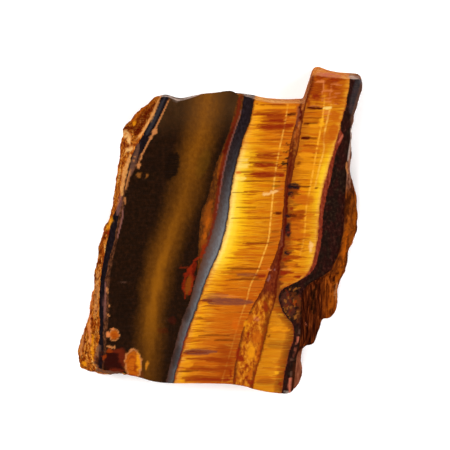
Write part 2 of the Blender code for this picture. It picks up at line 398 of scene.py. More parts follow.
def relieve_walls(bm, fixed):
    """Press the fine relief into the walls. Gives back how hollow each vertex is."""
    bm.normal_update()
    verts = list(bm.verts)
    masks = wall_masks(np.array([tuple(vert.co) for vert in verts]))
    hollows = []
    moves = []
    for index, vert in enumerate(verts):
        shares = {name: float(values[index]) for name, values in masks.items()}
        out, hollow = relief_at(vert.co, shares)
        depth = THICKNESS - vert.co.z
        start = min(1.0, max(0.0, (depth - RELIEF_START) / RELIEF_RISE))
        end = min(1.0, vert.co.z / RELIEF_RISE)
        hollows.append(hollow * start)
        moves.append(vert.normal * (out * start * end))
    for vert, move in zip(verts, moves):
        if vert not in fixed:
            vert.co += move
    return hollows


def stone_parts(node):
    """The vertices, faces and hollows of the finished stone, and its rim, in millimetres."""
    bm = refined(solid_walls(node))
    rim = border_loop(bm, True)
    foot = border_loop(bm, False)
    rounded_loop(rim)
    rounded_loop(foot)
    hollows = relieve_walls(bm, set(rim) | set(foot))
    bm.verts.index_update()
    vertices = [tuple(vert.co) for vert in bm.verts]
    faces = [[vert.index for vert in face.verts] for face in bm.faces]
    for loop, grid, height in ((rim, FACE_GRID, THICKNESS), (foot, BACK_GRID, 0.0)):
        outline = np.array([tuple(vert.co.xy) for vert in loop])
        extra, fill = filled(outline, grid)
        names = [vert.index for vert in loop]
        names += range(len(vertices), len(vertices) + len(extra))
        vertices += [(x, y, height) for x, y in extra.tolist()]
        faces += [[names[corner] for corner in face] for face in fill]
    hollows += [0.0] * (len(vertices) - len(hollows))
    around = np.array([tuple(vert.co.xy) for vert in rim])
    bm.free()
    return np.array(vertices), faces, np.array(hollows), around


# ---------------------------------------------------------------- the brushed marks

class Paint:
    """Colour brushed over the stone's vertices, one mark over another."""

    def __init__(self, vertices):
        self.colour = np.zeros((len(vertices), 3))
        self.cover = np.zeros(len(vertices))
        self.clean = vertices[:, :2].copy()
        self.clean[:, 1] += LEAN * (THICKNESS - vertices[:, 2])
        self.fibrous = self.warped((4.0, 0.4), (5.0, 1.6), (1.3, 0.25))
        self.grainy = self.warped((1.1, 1.1), (0.9, 0.9), (0.55, 0.5))
        self.seen = self.clean
        self.mask = np.ones(len(vertices))

    def between(self, west, east):
        """Keep the marks that follow between two band edges."""
        x, y = self.clean.T
        from_west = x - np.interp(y, *zip(*sorted(west)))
        to_east = np.interp(y, *zip(*sorted(east))) - x
        self.mask = smooth_step(*EDGE_FADE, from_west) * smooth_step(*EDGE_FADE, to_east)

    def anywhere(self):
        """Let the marks that follow go anywhere."""
        self.mask = np.ones(len(self.clean))

    def warped(self, across, up, reach):
        """The seen places, moved by noise, so that marks laid over them have ragged edges."""
        moved = self.clean.copy()
        for index, (x, y) in enumerate(self.clean.tolist()):
            moved[index, 0] += reach[0] * noise.noise(Vector((x / across[0], y / across[1], 3.0)))
            moved[index, 1] += reach[1] * noise.noise(Vector((x / up[0], y / up[1], 9.0)))
        return moved

    def near(self, points, reach):
        """The vertices in the box of some points, widened by a reach."""
        corners = np.array(points, float).reshape(-1, 2)
        low, high = corners.min(axis=0) - reach, corners.max(axis=0) + reach
        return np.nonzero(np.all((self.seen > low) & (self.seen < high), axis=1))[0]

    def lay(self, who, mask, colour):
        """Lay a colour over some vertices."""
        share = np.clip(mask, 0.0, 1.0) * self.mask[who]
        tint = np.array(linear(COLOURS[colour])[:3])
        self.colour[who] = tint * share[:, None] + self.colour[who] * (1.0 - share[:, None])
        self.cover[who] = share + self.cover[who] * (1.0 - share)

    def line(self, colour, strength, width, *points, ends_share=0.45):
        """A stroke along a line of points, with thinner ends."""
        half = max(0.5 * width, 0.2)
        strength *= min(1.0, 0.5 * width / half)
        who = self.near(points, half + 0.1)
        places = self.seen[who]
        ends = np.array(points, float)
        runs = np.linalg.norm(np.diff(ends, axis=0), axis=1)
        best = np.full(len(who), np.inf)
        where = np.zeros(len(who))
        passed = 0.0
        for start, end, run in zip(ends, ends[1:], runs):
            along = np.clip((places - start) @ (end - start) / run ** 2, 0.0, 1.0)
            gap = np.linalg.norm(places - start - along[:, None] * (end - start), axis=1)
            closer = gap < best
            best[closer] = gap[closer]
            where[closer] = (passed + along[closer] * run) / runs.sum()
            passed += run
        swell = np.sqrt(np.sin(pi * np.clip(where, 0.0, 1.0)).clip(0.0))
        body = ends_share + (1.0 - ends_share) * swell
        self.lay(who, strength * (1.0 - smooth_step(*LINE_FADE, best / (half * body))), colour)

    def rows(self, colour, strength, *rows):
        """Streaks along X, each given as (y, west end, east end, thickness)."""
        for y, west, east, thickness in rows:
            self.line(colour, strength, 1.25 * thickness, (west, y), (east, y), ends_share=0.1)

    def blobs(self, colour, strength, *blobs):
        """Soft ellipses, each given as (x, y, half width, half height) and perhaps a turn."""
        for x, y, wide, high, *turn in blobs:
            who = self.near(((x, y),), 1.2 * max(wide, high))
            out = self.ellipse(who, x, y, wide, high, *turn)
            self.lay(who, strength * (1.0 - smooth_step(*BLOB_FADE, out)), colour)

    def scatter(self, seed, count, colours, strength, west, east, south, north, run):
        """Short fine streaks at random places in a box, each up to one run long."""
        chance = np.random.default_rng(seed)
        for index in range(count):
            x, y = chance.uniform(west, east), chance.uniform(south, north)
            length = chance.uniform(0.3, 1.0)
            self.line(colours[index % len(colours)], strength, 0.5, (x, y),
                      (x + length * run[0], y + length * run[1]))

    def ring(self, colour, strength, width, x, y, wide, high):
        """The outline of an ellipse."""
        who = self.near(((x, y),), max(wide, high) + width)
        off = np.abs(self.ellipse(who, x, y, wide, high) - 1.0) * min(wide, high)
        self.lay(who, strength * (1.0 - smooth_step(*RING_FADE, off / (0.5 * width))), colour)

    def ellipse(self, who, x, y, wide, high, turn=0.0):
        """How far out each vertex is in an ellipse: 0 at its middle and 1 on its outline."""
        away = self.seen[who] - np.array((x, y))
        angle = radians(turn)
        across = away[:, 0] * cos(angle) + away[:, 1] * sin(angle)
        up = away[:, 1] * cos(angle) - away[:, 0] * sin(angle)
        return np.hypot(across / wide, up / high)


def brush_first_gold(paint):
    """Cross fibres, dark dashes, painted bright rows of sheen and painted pale smudges of reflection
    on the wide golden band.
    """
    paint.between(HAWK_RIGHT, SEAM_LEFT)
    paint.seen = paint.fibrous
    paint.rows("amber", 0.7, (38.9, 10.8, 23, 1.1), (-39.6, -11.8, -7.5, 1.6),
        (26.6, 15.5, 19.5, 0.7), (29.3, 8, 12, 1.2))
    paint.rows("rust", 0.75, (38, 15.5, 23.6, 0.7), (35.8, 14, 20.5, 0.9), (31.9, 12.5, 18.5, 0.6),
        (25.6, 11, 19.4, 0.6), (23, 11, 19, 0.7), (19.4, 9.5, 19.5, 0.6), (9.4, 16.8, 19.6, 1.3),
        (-4.2, 5.5, 12.5, 0.5), (-5.8, 4, 13.5, 0.6), (-6.7, 2.2, 13, 0.4), (-11.2, 1, 10, 0.4),
        (-17.5, -1, 8.4, 0.9), (-32.8, -4.6, 4.5, 0.7), (-38.9, -8, 1, 0.6))
    paint.rows("russet", 0.85, (39.7, 10.6, 20.5, 0.55), (36.9, 9.8, 20.4, 0.8),
        (36.3, 13.5, 20.4, 0.9), (34.8, 13.3, 20.2, 1.2), (32.6, 11.8, 21.6, 1.1),
        (24.5, 11, 17.6, 0.7), (23.6, 9.5, 17.3, 0.6), (21.2, 11, 17.3, 0.8), (18.8, 9.3, 17.4, 1),
        (17.9, 10.5, 17.2, 0.6), (13.5, 8.2, 13.4, 0.6), (5.3, 2.8, 16, 0.4),
        (-2.4, 7.4, 14.7, 0.8), (-37.7, -9.8, 1, 0.9), (-38.3, -4, 4.4, 1.2),
        (-43.6, -11.2, 1, 0.7), (-41, -10, 4, 1))
    paint.blobs("russet", 0.55, (2.2, -39.6, 2.6, 5), (1.6, -34.8, 3, 1.6))
    paint.rows("umber", 0.8, (22.2, 9.8, 18.2, 0.4), (13.2, 4.2, 9, 0.3), (8.6, 5, 11, 0.4),
        (-2.1, 8, 18, 0.35), (-10.2, 2, 13.6, 0.6), (-13.4, 2, 13, 0.5), (-25.1, -8, -4.4, 0.4),
        (-30.6, -6.4, 3.4, 0.5), (-32, -2, 5.2, 0.4), (-41.6, -12.5, -6.5, 0.5),
        (1.3, 15.8, 18.2, 0.35))
    paint.rows("brick", 0.85, (33.4, 14.4, 23, 0.45), (33.8, 19.8, 22.9, 0.7),
        (21.9, 11, 17.2, 0.3), (20.8, 17.6, 19.6, 0.9), (18.4, 17.9, 20, 0.9),
        (16.5, 17.3, 18.7, 0.5), (-12.3, 10.6, 15, 1.1), (-36, -10.9, -7.5, 0.9),
        (-44.2, -10, 3, 0.9), (33.2, 11.6, 22.6, 1), (35, 15, 20.2, 0.8), (21.6, 9.6, 18.6, 0.7),
        (18.6, 8.4, 20, 0.9), (24.2, 12, 18.6, 0.5), (36.6, 10.4, 19, 0.5))
    paint.rows("umber", 0.7, (16.6, 5.6, 18.6, 0.4), (19.6, 5.4, 12, 0.35))
    paint.rows("brick", 0.6, (19.2, 5.4, 20, 0.4), (18, 8, 20, 0.4), (22.4, 8, 18, 0.35),
        (20.9, 9, 19, 0.4), (25.2, 8.6, 19, 0.35), (33.9, 12, 22.6, 0.4), (32.5, 10.6, 21, 0.4),
        (35.8, 12, 21, 0.4), (37.5, 11, 20, 0.35))
    paint.rows("maroon", 0.95, (36.7, 20.4, 23.5, 0.9), (6.9, 16.3, 19.8, 0.8))
    paint.rows("umber", 0.5, (-11.6, 2.4, 12, 0.7), (-12.4, 4, 12.6, 0.6), (-13, 7, 13, 0.5))
    paint.rows("plum", 0.6, (-11.9, 5.4, 12, 0.8))
    paint.rows("plum", 0.9, (-19.6, -4.6, 7.6, 1.2), (-20.4, -3.6, 10.6, 1.6),
        (-35.5, -10.4, -0.4, 1.3), (-36.2, -9.4, -2.5, 0.8))
    paint.rows("plum", 0.5, (-18.2, -4.6, 3, 1.2), (-19.1, -5.2, 1, 1))
    paint.rows("wine", 0.7, (-19.9, -5.4, -1, 0.8), (-35.7, -10.6, -3.4, 0.8))
    paint.rows("olive", 0.7, (15.1, 15.7, 18.6, 0.6))
    paint.rows("peach", 0.45, (-18.4, -4, 8, 0.35))
    # Bright whitish rows of painted chatoyant sheen along the band's left edge
    paint.rows("straw_sheen", 0.4, (23.1, 6.1, 9.2, 0.8), (21.2, 5.5, 9, 1.5), (17.4, 4.8, 8.4, 1.1))
    paint.rows("flame", 0.75, (19.2, 4.9, 7, 1))
    paint.seen = paint.grainy
    # The two cream blobs are painted reflections: pale smudges of light on the polished face
    paint.blobs("cream", 0.85, (14.7, 12.7, 1.4, 0.6, 12), (16.6, 13.3, 1.4, 0.45, 16))
    paint.blobs("flame", 0.5, (5.2, -27.2, 1.1, 2.2))
    paint.blobs("peach", 0.3, (18.6, 14.2, 1, 0.5))
    paint.anywhere()


def brush_seam(paint):
    """The dark seam between the golden bands, and the beads and crystals along it."""
    paint.seen = paint.grainy
    paint.line("plum", 0.7, 1, (23.9, 39.4), (24.1, 36.4), (23.2, 33.2))
    paint.line("maroon", 0.95, 0.9, (24.3, 39.4), (24.7, 37.2), (24.6, 34.8))
    paint.blobs("chestnut", 0.6, (22.4, 26, 0.7, 3, -8))
    paint.line("maroon", 0.95, 0.8, (20.6, 15), (20.5, 11), (20.4, 7), (20, 3), (19.7, 0),
        (19.4, -3), (18.6, -6), (18, -9), (18.2, -11.4))
    paint.line("maroon", 0.75, 0.8, (22.6, 29.4), (22.1, 26), (21.8, 22.6), (21.2, 19.4), (20.7, 16))
    paint.line("plum", 0.6, 0.6, (19.2, 2), (19, -1.4), (18.6, -4.2))
    paint.rows("night", 0.85, (21.9, 18.8, 21, 1), (27.7, 20.3, 21.7, 0.35),
        (25.5, 19.6, 21.1, 0.4), (23.5, 19.3, 20.9, 0.45), (20.8, 19.5, 20.7, 0.35),
        (19.7, 19.5, 20.7, 0.35))
    paint.blobs("umber", 0.9, (23.9, 22, 1.1, 0.5, 8), (22.6, 13.4, 1.5, 1.6, -6))
    paint.blobs("ink", 0.95, (22.7, 14.9, 2.2, 1.15, -4), (21.9, 12.7, 1.1, 0.9),
        (21, 1.9, 0.95, 2.4), (20.8, -5.2, 1.1, 0.8), (20.9, 6, 1.2, 0.4), (23.6, 14.7, 0.9, 0.45))
    paint.blobs("brick", 0.8, (22, 8.4, 0.8, 0.45), (22.2, 11.7, 0.8, 0.25), (20.4, -7.4, 1.4, 0.6))
    paint.line("maroon", 0.85, 0.7, (18, -11), (17.3, -14), (17.1, -17.4), (16.9, -20))
    paint.blobs("wine", 0.7, (15.4, -15.9, 0.7, 1.4))
    paint.blobs("brick", 0.7, (14.1, -21.6, 0.7, 2, 10))
    paint.blobs("dusk", 0.7, (16.9, -10.5, 0.5, 0.4), (15.1, -13.2, 0.4, 1.1, -12))
    paint.blobs("peach", 0.8, (15.3, -10.3, 0.6, 0.25))


def brush_lens(paint):
    """The broken orange lens that fills the seam in the south."""
    paint.seen = paint.grainy
    paint.line("umber", 0.75, 1.8, (14.2, -18.6), (14.7, -22), (14.9, -25), (14.2, -28.4),
        (13.5, -31.6), (12.7, -35.6), (11.9, -39.6))
    paint.line("brick", 0.6, 0.4, (9.2, -31.4), (8.8, -29.6), (9.6, -28.4), (10.4, -29.4),
        (10, -31.6))
    paint.line("brick", 0.6, 0.4, (5.8, -41.4), (6.8, -40.6), (8.6, -40.4), (9.8, -39.2))
    paint.blobs("amber", 0.8, (9.8, -35.6, 1.2, 2.8, -6), (8.6, -27.6, 1, 2))
    paint.blobs("peach", 0.7, (11.4, -25.5, 0.9, 0.8))
    paint.blobs("rust", 0.8, (11.6, -31.2, 1.5, 2), (9.4, -25.4, 0.8, 1.6, -10),
        (9.6, -42.6, 0.7, 1.8, -14), (12, -36, 0.5, 3.6, -10))
    paint.blobs("brick", 0.85, (9.1, -30.5, 0.55, 1.2, -8), (6.8, -37.5, 0.9, 0.9),
        (5.8, -36.2, 0.6, 2.2, -8), (3.7, -42.2, 0.4, 1.5, 8), (2.6, -44.2, 0.9, 0.6),
        (9.6, -45, 0.9, 0.9), (5, -44.4, 0.4, 0.8), (8.6, -43.4, 0.4, 0.8, -30))
    for points in (
        ((13.8, -22.6), (12.2, -24.4), (11, -26.4), (10.4, -28.8), (9.8, -31.4), (8.6, -33)),
        ((14.4, -27.8), (13.4, -30.6), (13, -33.6), (12.4, -36.8), (11.6, -40), (11, -43.2),
         (10.4, -46.4)),
    ):
        paint.line("russet", 0.85, 0.55, *points)
    paint.blobs("umber", 0.9, (14.8, -30.7, 0.9, 0.35), (13.9, -33.2, 0.5, 0.4))
    paint.between(SEAM_LEFT, SEAM_RIGHT)
    paint.scatter(8, 36, ("brick", "amber", "russet"), 0.5, 3, 15, -46, -22, (-0.8, 2))
    paint.anywhere()


def brush_second_gold(paint):
    """Rows, dashes and bright fibres of the golden band on the right, with painted sheen and a
    painted reflection.
    """
    paint.between(SEAM_RIGHT, GOLD_RIGHT)
    paint.seen = paint.grainy
    paint.blobs("rust", 0.9, (34.4, 44.2, 3.6, 4.2), (34.6, 36.4, 1.8, 1.6), (34.4, 31.6, 1.7, 2.6))
    paint.blobs("russet", 0.9, (29.4, 45, 2.3, 4.2), (34.4, 46.8, 4, 1.8))
    paint.blobs("russet", 0.45, (34.8, 44, 3, 3.4))
    paint.blobs("brick", 0.75, (29, 42, 1.6, 1))
    # A pale line of painted sheen, where the second sheen line runs on up the tab
    paint.line("peach", 0.7, 0.4, (31.6, 47), (31.3, 44.4), (31.1, 41))
    paint.line("peach", 0.4, 0.5, (33.6, 45.4), (33.4, 43), (33.1, 40))
    paint.blobs("russet", 0.8, (26.8, 40.8, 0.7, 2))
    paint.blobs("rust", 0.7, (24.9, 10.9, 2.6, 1.6))
    paint.blobs("flame", 0.5, (27, 25.8, 2.6, 0.9), (24.8, 13.4, 1.6, 0.5))
    paint.seen = paint.fibrous
    paint.rows("rust", 0.75, (46.4, 35, 38.6, 1.2), (40.4, 33.6, 37.4, 1), (36.6, 33.4, 36.6, 1.3),
        (31.2, 31.4, 36, 1.2), (29.4, 31, 35.4, 0.8), (28.4, 24.8, 30, 0.5), (27.2, 24.4, 31, 0.9),
        (25.8, 25, 30.6, 1), (6.4, 26.6, 28.8, 0.9), (3.4, 22, 26.5, 0.5), (0.2, 22, 28, 0.9),
        (-0.9, 22, 26.5, 0.8), (-8.8, 19.6, 24, 0.9), (-13.4, 18.4, 22.6, 1.3),
        (-44.6, 11, 17.6, 1.3), (-43.4, 11.4, 18, 0.4), (-39.4, 16.6, 18.2, 0.6),
        (2.4, 23, 25, 0.5))
    paint.rows("russet", 0.85, (27.4, 25.2, 29.2, 0.5), (7.4, 22.6, 26.6, 0.9),
        (6.2, 22, 26.4, 1.4), (5.3, 21.6, 25.8, 0.7), (-6.6, 20.6, 24.8, 1.2),
        (-3.9, 20.8, 24.4, 0.4), (-12.6, 22, 25.2, 0.8))
    paint.rows("brick", 0.85, (48, 29.6, 32.4, 0.8), (47.2, 30.6, 36, 0.8),
        (-11.1, 18.4, 22.6, 0.9), (-11.6, 17.6, 20.6, 0.9), (-12.7, 22.8, 25.2, 0.6),
        (-45.6, 18, 19.6, 1.6))
    paint.rows("maroon", 0.95, (38.7, 26.4, 31.2, 1), (34, 25, 29.8, 0.7), (29.6, 24.5, 28, 1),
        (14.9, 24, 27.6, 0.5), (6.2, 20.6, 23.4, 0.9))
    paint.rows("umber", 0.85, (14.6, 28.8, 30.2, 0.6), (3.1, 23.4, 25.8, 0.3),
        (-4.6, 20, 22.8, 0.5), (29.4, 27.4, 30, 0.6), (-7.6, 20, 22.6, 0.5))
    paint.rows("peach", 0.8, (46.7, 28.8, 32.6, 0.5))
    paint.rows("amber", 0.75, (24.6, 24, 28.4, 1.6), (21, 24, 29.6, 2), (-28.6, 15.6, 21.4, 1.8),
        (33.4, 27, 31, 1.2))
    paint.rows("peach", 0.4, (41.7, 31.2, 34, 0.5), (39.3, 26.8, 31.2, 0.4),
        (-10.3, 18.6, 22.4, 0.5), (40.6, 31.4, 33.8, 0.4), (37.7, 31.2, 33.4, 0.5),
        (37, 31, 33.4, 0.5), (35.6, 31.2, 33.2, 0.5))
    # A bright whitish row of painted chatoyant sheen
    paint.rows("straw_sheen", 0.7, (38.7, 31.2, 33.9, 0.8))
    paint.rows("chestnut", 0.35, (-33.4, 14.4, 22, 2.6), (-45, 11, 19, 1.8))
    paint.seen = paint.grainy
    paint.blobs("rust", 0.7, (26, 11, 3, 1.8), (23.6, 2.4, 2.2, 2.2), (32.8, 29.4, 2.6, 1.6))
    paint.blobs("rust", 0.4, (32.4, 26.8, 2.4, 2))
    # A pale smudge of painted reflection on the polished face
    paint.blobs("cream", 0.85, (27.7, -3.6, 0.65, 1.8))
    paint.blobs("honey", 0.7, (30.9, 34.2, 0.9, 1.4), (17.6, -42.2, 0.9, 0.4))
    # A soft yellow streak of painted chatoyant sheen in the band's glow
    paint.blobs("lemon", 0.35, (31.1, 18.6, 0.9, 3.4, -12))
    paint.line("ochre", 0.7, 0.8, (18.4, -16), (19.6, -15), (21, -14.4))
    paint.seen = paint.fibrous
    paint.scatter(4, 44, ("russet", "umber", "brick"), 0.55, 19.8, 25, -11, 15, (2.6, 0))
    paint.scatter(6, 26, ("brick", "rust", "peach"), 0.55, 28, 35.5, 39.5, 47.4, (3, 0.1))
    paint.scatter(10, 24, ("ember", "russet", "honey"), 0.4, 13, 20, -46, -24, (3, 0))
    paint.anywhere()


def brush_east(paint):
    """The black band on the right: its golden flecks, brown skin, ridges and pale lines, some of
    them painted highlights on the rim.
    """
    paint.seen = paint.clean
    # Painted highlights where light catches the rim of the shell
    paint.line("rim_highlight", 0.7, 0.8, (39.6, 32.4), (39.9, 29.4), (39.3, 26), (38.8, 22.8))
    paint.line("tan", 0.7, 0.7, (38.4, 22.4), (38.4, 20.6), (38.9, 18.8))
    paint.line("mauve", 0.7, 1, (42.8, 47), (42.4, 43.8), (41.4, 40.6), (40.3, 37), (39.8, 33))
    paint.line("slate", 0.2, 2.4, (41.7, 47.4), (41.1, 44), (40.3, 41), (39.6, 37.4))
    paint.line("pink", 0.7, 0.7, (37.1, 30.5), (36.7, 29.6), (36, 28.4))
    paint.seen = paint.grainy
    paint.between(GOLD_RIGHT, ((43.0, 60.0), (-50.0, 60.0)))
    paint.blobs("plum", 0.25, (20.6, -19.6, 1.8, 3), (22, -23.4, 1.4, 2))
    paint.blobs("chestnut", 0.6, (21.2, -19, 0.6, 0.8), (20.2, -21.6, 0.5, 1),
        (22, -22.2, 0.5, 0.9), (21, -24.2, 0.5, 0.8), (22.6, -17.6, 0.8, 0.5))
    paint.blobs("chestnut", 0.7, (23.4, -19.6, 0.9, 1.6), (22, -18.4, 0.8, 0.6),
        (24.3, -21, 0.7, 3.4), (24, -24.6, 0.8, 2.4))
    # Crumbs of dark stone and golden flecks, scattered over the broken patch in the south
    crumbs = np.random.default_rng(5)
    for colour in ("night", "night", "fleck", "wine") * 9:
        x, y = 22 + 2.6 * crumbs.uniform(-1, 1), -20.8 + 4.8 * crumbs.uniform(-1, 1)
        paint.line(colour, 0.8, 0.55, (x, y), (x + crumbs.uniform(-0.6, 0.8), y + 0.9))
    for points in (
        ((24.4, -15.6), (23.3, -16.2), (22.4, -17.6)), ((21, -18.4), (21.2, -19.4)),
        ((19.4, -21.8), (20, -22.8), (20.6, -24.2)), ((22, -21), (21.9, -22.4)),
        ((21.4, -24.8), (21.6, -26)), ((22.6, -19.6), (23, -21.2)),
    ):
        paint.line("fleck", 0.55, 0.4, *points)
    paint.blobs("russet", 0.7, (22.8, -20.8, 0.5, 0.5), (23.3, -20.1, 0.5, 0.6))
    paint.anywhere()
    paint.line("mauve", 0.7, 0.5, (24.4, -30.4), (24.2, -29))
    paint.seen = paint.clean
    paint.line("pink", 0.9, 0.7, (24.2, -31), (23.8, -32.4), (23.5, -33.4))
    paint.line("plum", 0.95, 0.8, (23.6, -33), (23.2, -35.2), (22.8, -37))
    paint.blobs("mauve", 0.6, (22, -38, 0.35, 0.5), (21.8, -42.4, 0.3, 0.9))
    paint.line("pink", 0.9, 0.9, (21.7, -43.6), (21.5, -46), (21.6, -48.4))
    paint.line("bark", 0.9, 0.9, (22.9, -39), (22.6, -43), (22.4, -47))
    # A painted highlight where light catches the south edge
    paint.line("rim_highlight", 0.6, 0.7, (19.8, -47.9), (20.8, -48.2), (21.8, -48.5))


def brush_walls(paint):
    """Marks on the cut and natural walls that the face's bands don't give, among them painted
    highlights on the rims.
    """
    paint.seen = paint.clean
    # Pale grey lines of painted highlight where light catches the north rim
    paint.line("rim_highlight", 0.9, 1.1, (-17.8, 42.8), (-15, 42.6), (-12, 41.3), (-9, 42), (-5, 43.2))
    paint.line("peach", 0.4, 0.8, (5.6, 43), (7.8, 42.9))
    paint.line("rim_highlight", 0.7, 1.3, (7.6, 43.1), (9.6, 42.6), (11.2, 41.9))
    paint.line("sand", 0.8, 1.8, (11, 42), (13.6, 41.8), (16, 41), (25, 40.8))
    paint.line("cream", 0.5, 1, (11.6, 41.9), (13.8, 41.5), (17, 41.1), (20, 41))
    paint.line("wine", 0.9, 1.1, (26.4, 40.6), (27, 43), (27.7, 45.4), (28.3, 48.6))
    paint.line("pink", 0.9, 1.9, (29.6, 49.2), (33, 49), (37.4, 48.4))
    paint.line("sand", 0.7, 1.4, (36.8, 48.2), (39.4, 48.2))
    # A painted highlight where light catches the corner of the tab
    paint.line("rim_highlight", 0.9, 1.8, (39.2, 48.2), (40.6, 48.2), (42, 48.2))
    paint.line("slate", 0.6, 1, (40.8, 48.6), (42.2, 47.8), (42.8, 46.2))
    paint.seen = paint.grainy
    paint.line("bark", 0.75, 2.2, (39.4, 17), (39.7, 13), (38.9, 9.6), (38.2, 6))
    paint.line("ember", 0.85, 1.4, (41.2, 9.6), (41.2, 5), (40.8, 1.6), (39.8, -1.6))
    paint.line("ember", 0.9, 1.5, (39, 3.6), (38.4, 0), (37.9, -4), (37.4, -8), (36.9, -11.6),
        (35.6, -14.6))
    paint.line("flame", 0.4, 0.9, (38.9, 0.6), (38.2, -3.6), (37.6, -7.4), (37, -9.8))
    paint.blobs("pink", 0.6, (26.6, -27.2, 0.25, 0.7))
    paint.line("night", 0.8, 1.6, (29.8, -15), (28.6, -18), (28.6, -21), (28.8, -24))
    paint.line("ember", 0.8, 0.8, (35, -14.4), (34.6, -18), (34.3, -21), (33.6, -23.8))
    paint.line("tan", 0.7, 0.7, (36, -14.6), (35.7, -17.6), (35.6, -20.4))
    paint.line("plum", 0.4, 2.2, (24.4, -36.6), (24.2, -40), (24.2, -43.6), (23.4, -46.4))


def brush_hawk_and_red(paint):
    """The edges of the bluish stripe, and the red strip and the red lens beside it."""
    paint.seen = paint.clean
    paint.line("ember", 0.6, 1.6, (1.9, 25.4), (1.3, 23), (0.6, 20.4), (-0.1, 17.6))
    paint.seen = paint.grainy
    paint.line("wine", 0.95, 1.3, (6.6, 42.2), (6.2, 39), (5.6, 36.4), (4.8, 34.4), (4.2, 32.2),
        (3.2, 29), (2.2, 26), (1.6, 23), (0.9, 19.6), (0.3, 15.6), (-0.3, 11), (-0.9, 7), (-1.8, 3),
        (-2.8, -0.6), (-3.8, -4))
    paint.blobs("maroon", 0.85, (3.8, 31, 0.7, 2.8, -24), (2.4, 26.8, 0.7, 2.4, -20),
        (0.3, 16.8, 0.4, 2.2, -8))
    paint.seen = paint.clean
    paint.line("dusk", 0.5, 0.45, (6.9, 38.6), (6.3, 35.8), (5.3, 33.2), (4.4, 30.4), (3.5, 27.6),
        (2.8, 25), (2.2, 22.4), (1.5, 19.4), (0.9, 16), (0.2, 11), (-0.5, 7))
    paint.seen = paint.grainy
    paint.blobs("ember", 0.55, (-3.2, 7.4, 1, 4.2, -18), (-3, 4, 1.3, 3.8, -14),
        (-4.4, -1.4, 1, 3.4, -6))
    paint.blobs("rust", 0.6, (-3.2, 4, 0.7, 2, -14), (-4, 0, 0.6, 1.6, -14))
    paint.blobs("brick", 0.8, (-4.6, -4.6, 0.7, 2.6, -16), (-7.9, -10.2, 1.1, 2.6, -25))
    paint.blobs("ember", 0.6, (-8.9, -15, 1.2, 3.4, -12))
    paint.line("wine", 0.7, 0.9, (-11.8, -9.8), (-10.4, -9.6), (-9, -9.8))
    paint.line("brick", 0.5, 0.8, (-8.2, -27), (-10, -32), (-11.4, -37), (-13.1, -44.4))
    paint.line("brick", 0.75, 0.9, (-5.4, -6.4), (-7, -7.6), (-8.2, -9.2), (-8.3, -11), (-7.6, -13),
        (-8, -15.4), (-8.8, -18.2))
    paint.line("brick", 0.75, 0.8, (-8.8, -9.8), (-10, -12.6), (-10.5, -15.6), (-9.8, -19.4))
    paint.line("maroon", 0.7, 0.9, (-7.2, -8.6), (-7.6, -11), (-7, -13.4))


def brush_jasper(paint):
    """The black patch, the clouds of brown light and the specks of the dark band."""
    paint.seen = paint.grainy
    paint.line("night", 0.9, 3.6, (-14, 24.6), (-14.2, 21), (-15, 17.6))
    paint.line("night", 0.9, 2.4, (-12.4, 25), (-12.6, 22), (-13.2, 18.4))
    paint.blobs("night", 0.45, (-19.4, 21, 2.6, 1.8), (-22.6, 15.8, 2.4, 1), (-9.6, -24, 1.4, 2.6),
        (-28.6, -22, 2, 6), (-12.6, -37, 1.2, 4, -14))
    paint.blobs("olive", 0.2, (-4.6, 22, 2, 5, -20))
    paint.blobs("maroon", 0.3, (-16.8, -29.2, 2, 1), (-13.8, -26, 1.4, 1.2))
    paint.blobs("fleck", 0.6, (-23.9, 18.5, 0.9, 0.8), (-21.5, 18.2, 0.35, 0.9, -20))
    paint.blobs("mauve", 0.4, (-28.8, -14.2, 1.2, 0.3))


def brush_west_lines(paint):
    """The thin tan lines beside the navy stripe, and the beads on them."""
    paint.seen = paint.clean
    paint.line("slate", 0.2, 1.2, (-16, 41.8), (-17.6, 38.4), (-19.2, 35), (-21.4, 30.6))
    paint.line("sand", 0.85, 0.75, (-17.4, 42.4), (-18.1, 40.6), (-19.1, 38.2), (-20.4, 35.4),
        (-21.8, 32.8), (-23.2, 30.6), (-24.6, 29.2))
    paint.line("tan", 0.9, 0.5, (-14.6, 41.4), (-15.8, 38.8), (-17.2, 35.8), (-18.4, 33.4),
        (-19.4, 31), (-20.8, 28.6), (-21.8, 26.6), (-22.9, 24.4), (-23.8, 22))
    paint.line("mauve", 0.8, 1.7, (-23.9, 27.6), (-24.7, 24.6), (-25.6, 21.4), (-26.6, 18))
    paint.line("tan", 0.8, 0.45, (-24.9, 24), (-25.9, 21), (-26.9, 18), (-27.6, 15), (-27.9, 11.6),
        (-28.1, 8.8))
    paint.line("dusk", 0.5, 1.5, (-29.2, 12.4), (-29.8, 9), (-30.3, 6.4))
    paint.line("dusk", 0.7, 0.5, (-28.4, 8.8), (-28.9, 5), (-29.6, 2.2), (-30.4, -1))
    paint.line("dusk", 0.6, 0.5, (-33.8, -13.4), (-34.1, -18), (-34.2, -22.6), (-34.2, -27))
    paint.seen = paint.grainy
    paint.blobs("tan", 0.95, (-19, 31.6, 0.75, 1), (-20.2, 29.7, 0.55, 0.7), (-22.9, 24.2, 0.4, 1),
        (-23.9, 21.3, 0.6, 0.9), (-33, -21.5, 0.25, 0.8), (-33.2, -24.3, 0.25, 0.7),
        (-33.5, -16.6, 0.3, 1.2))


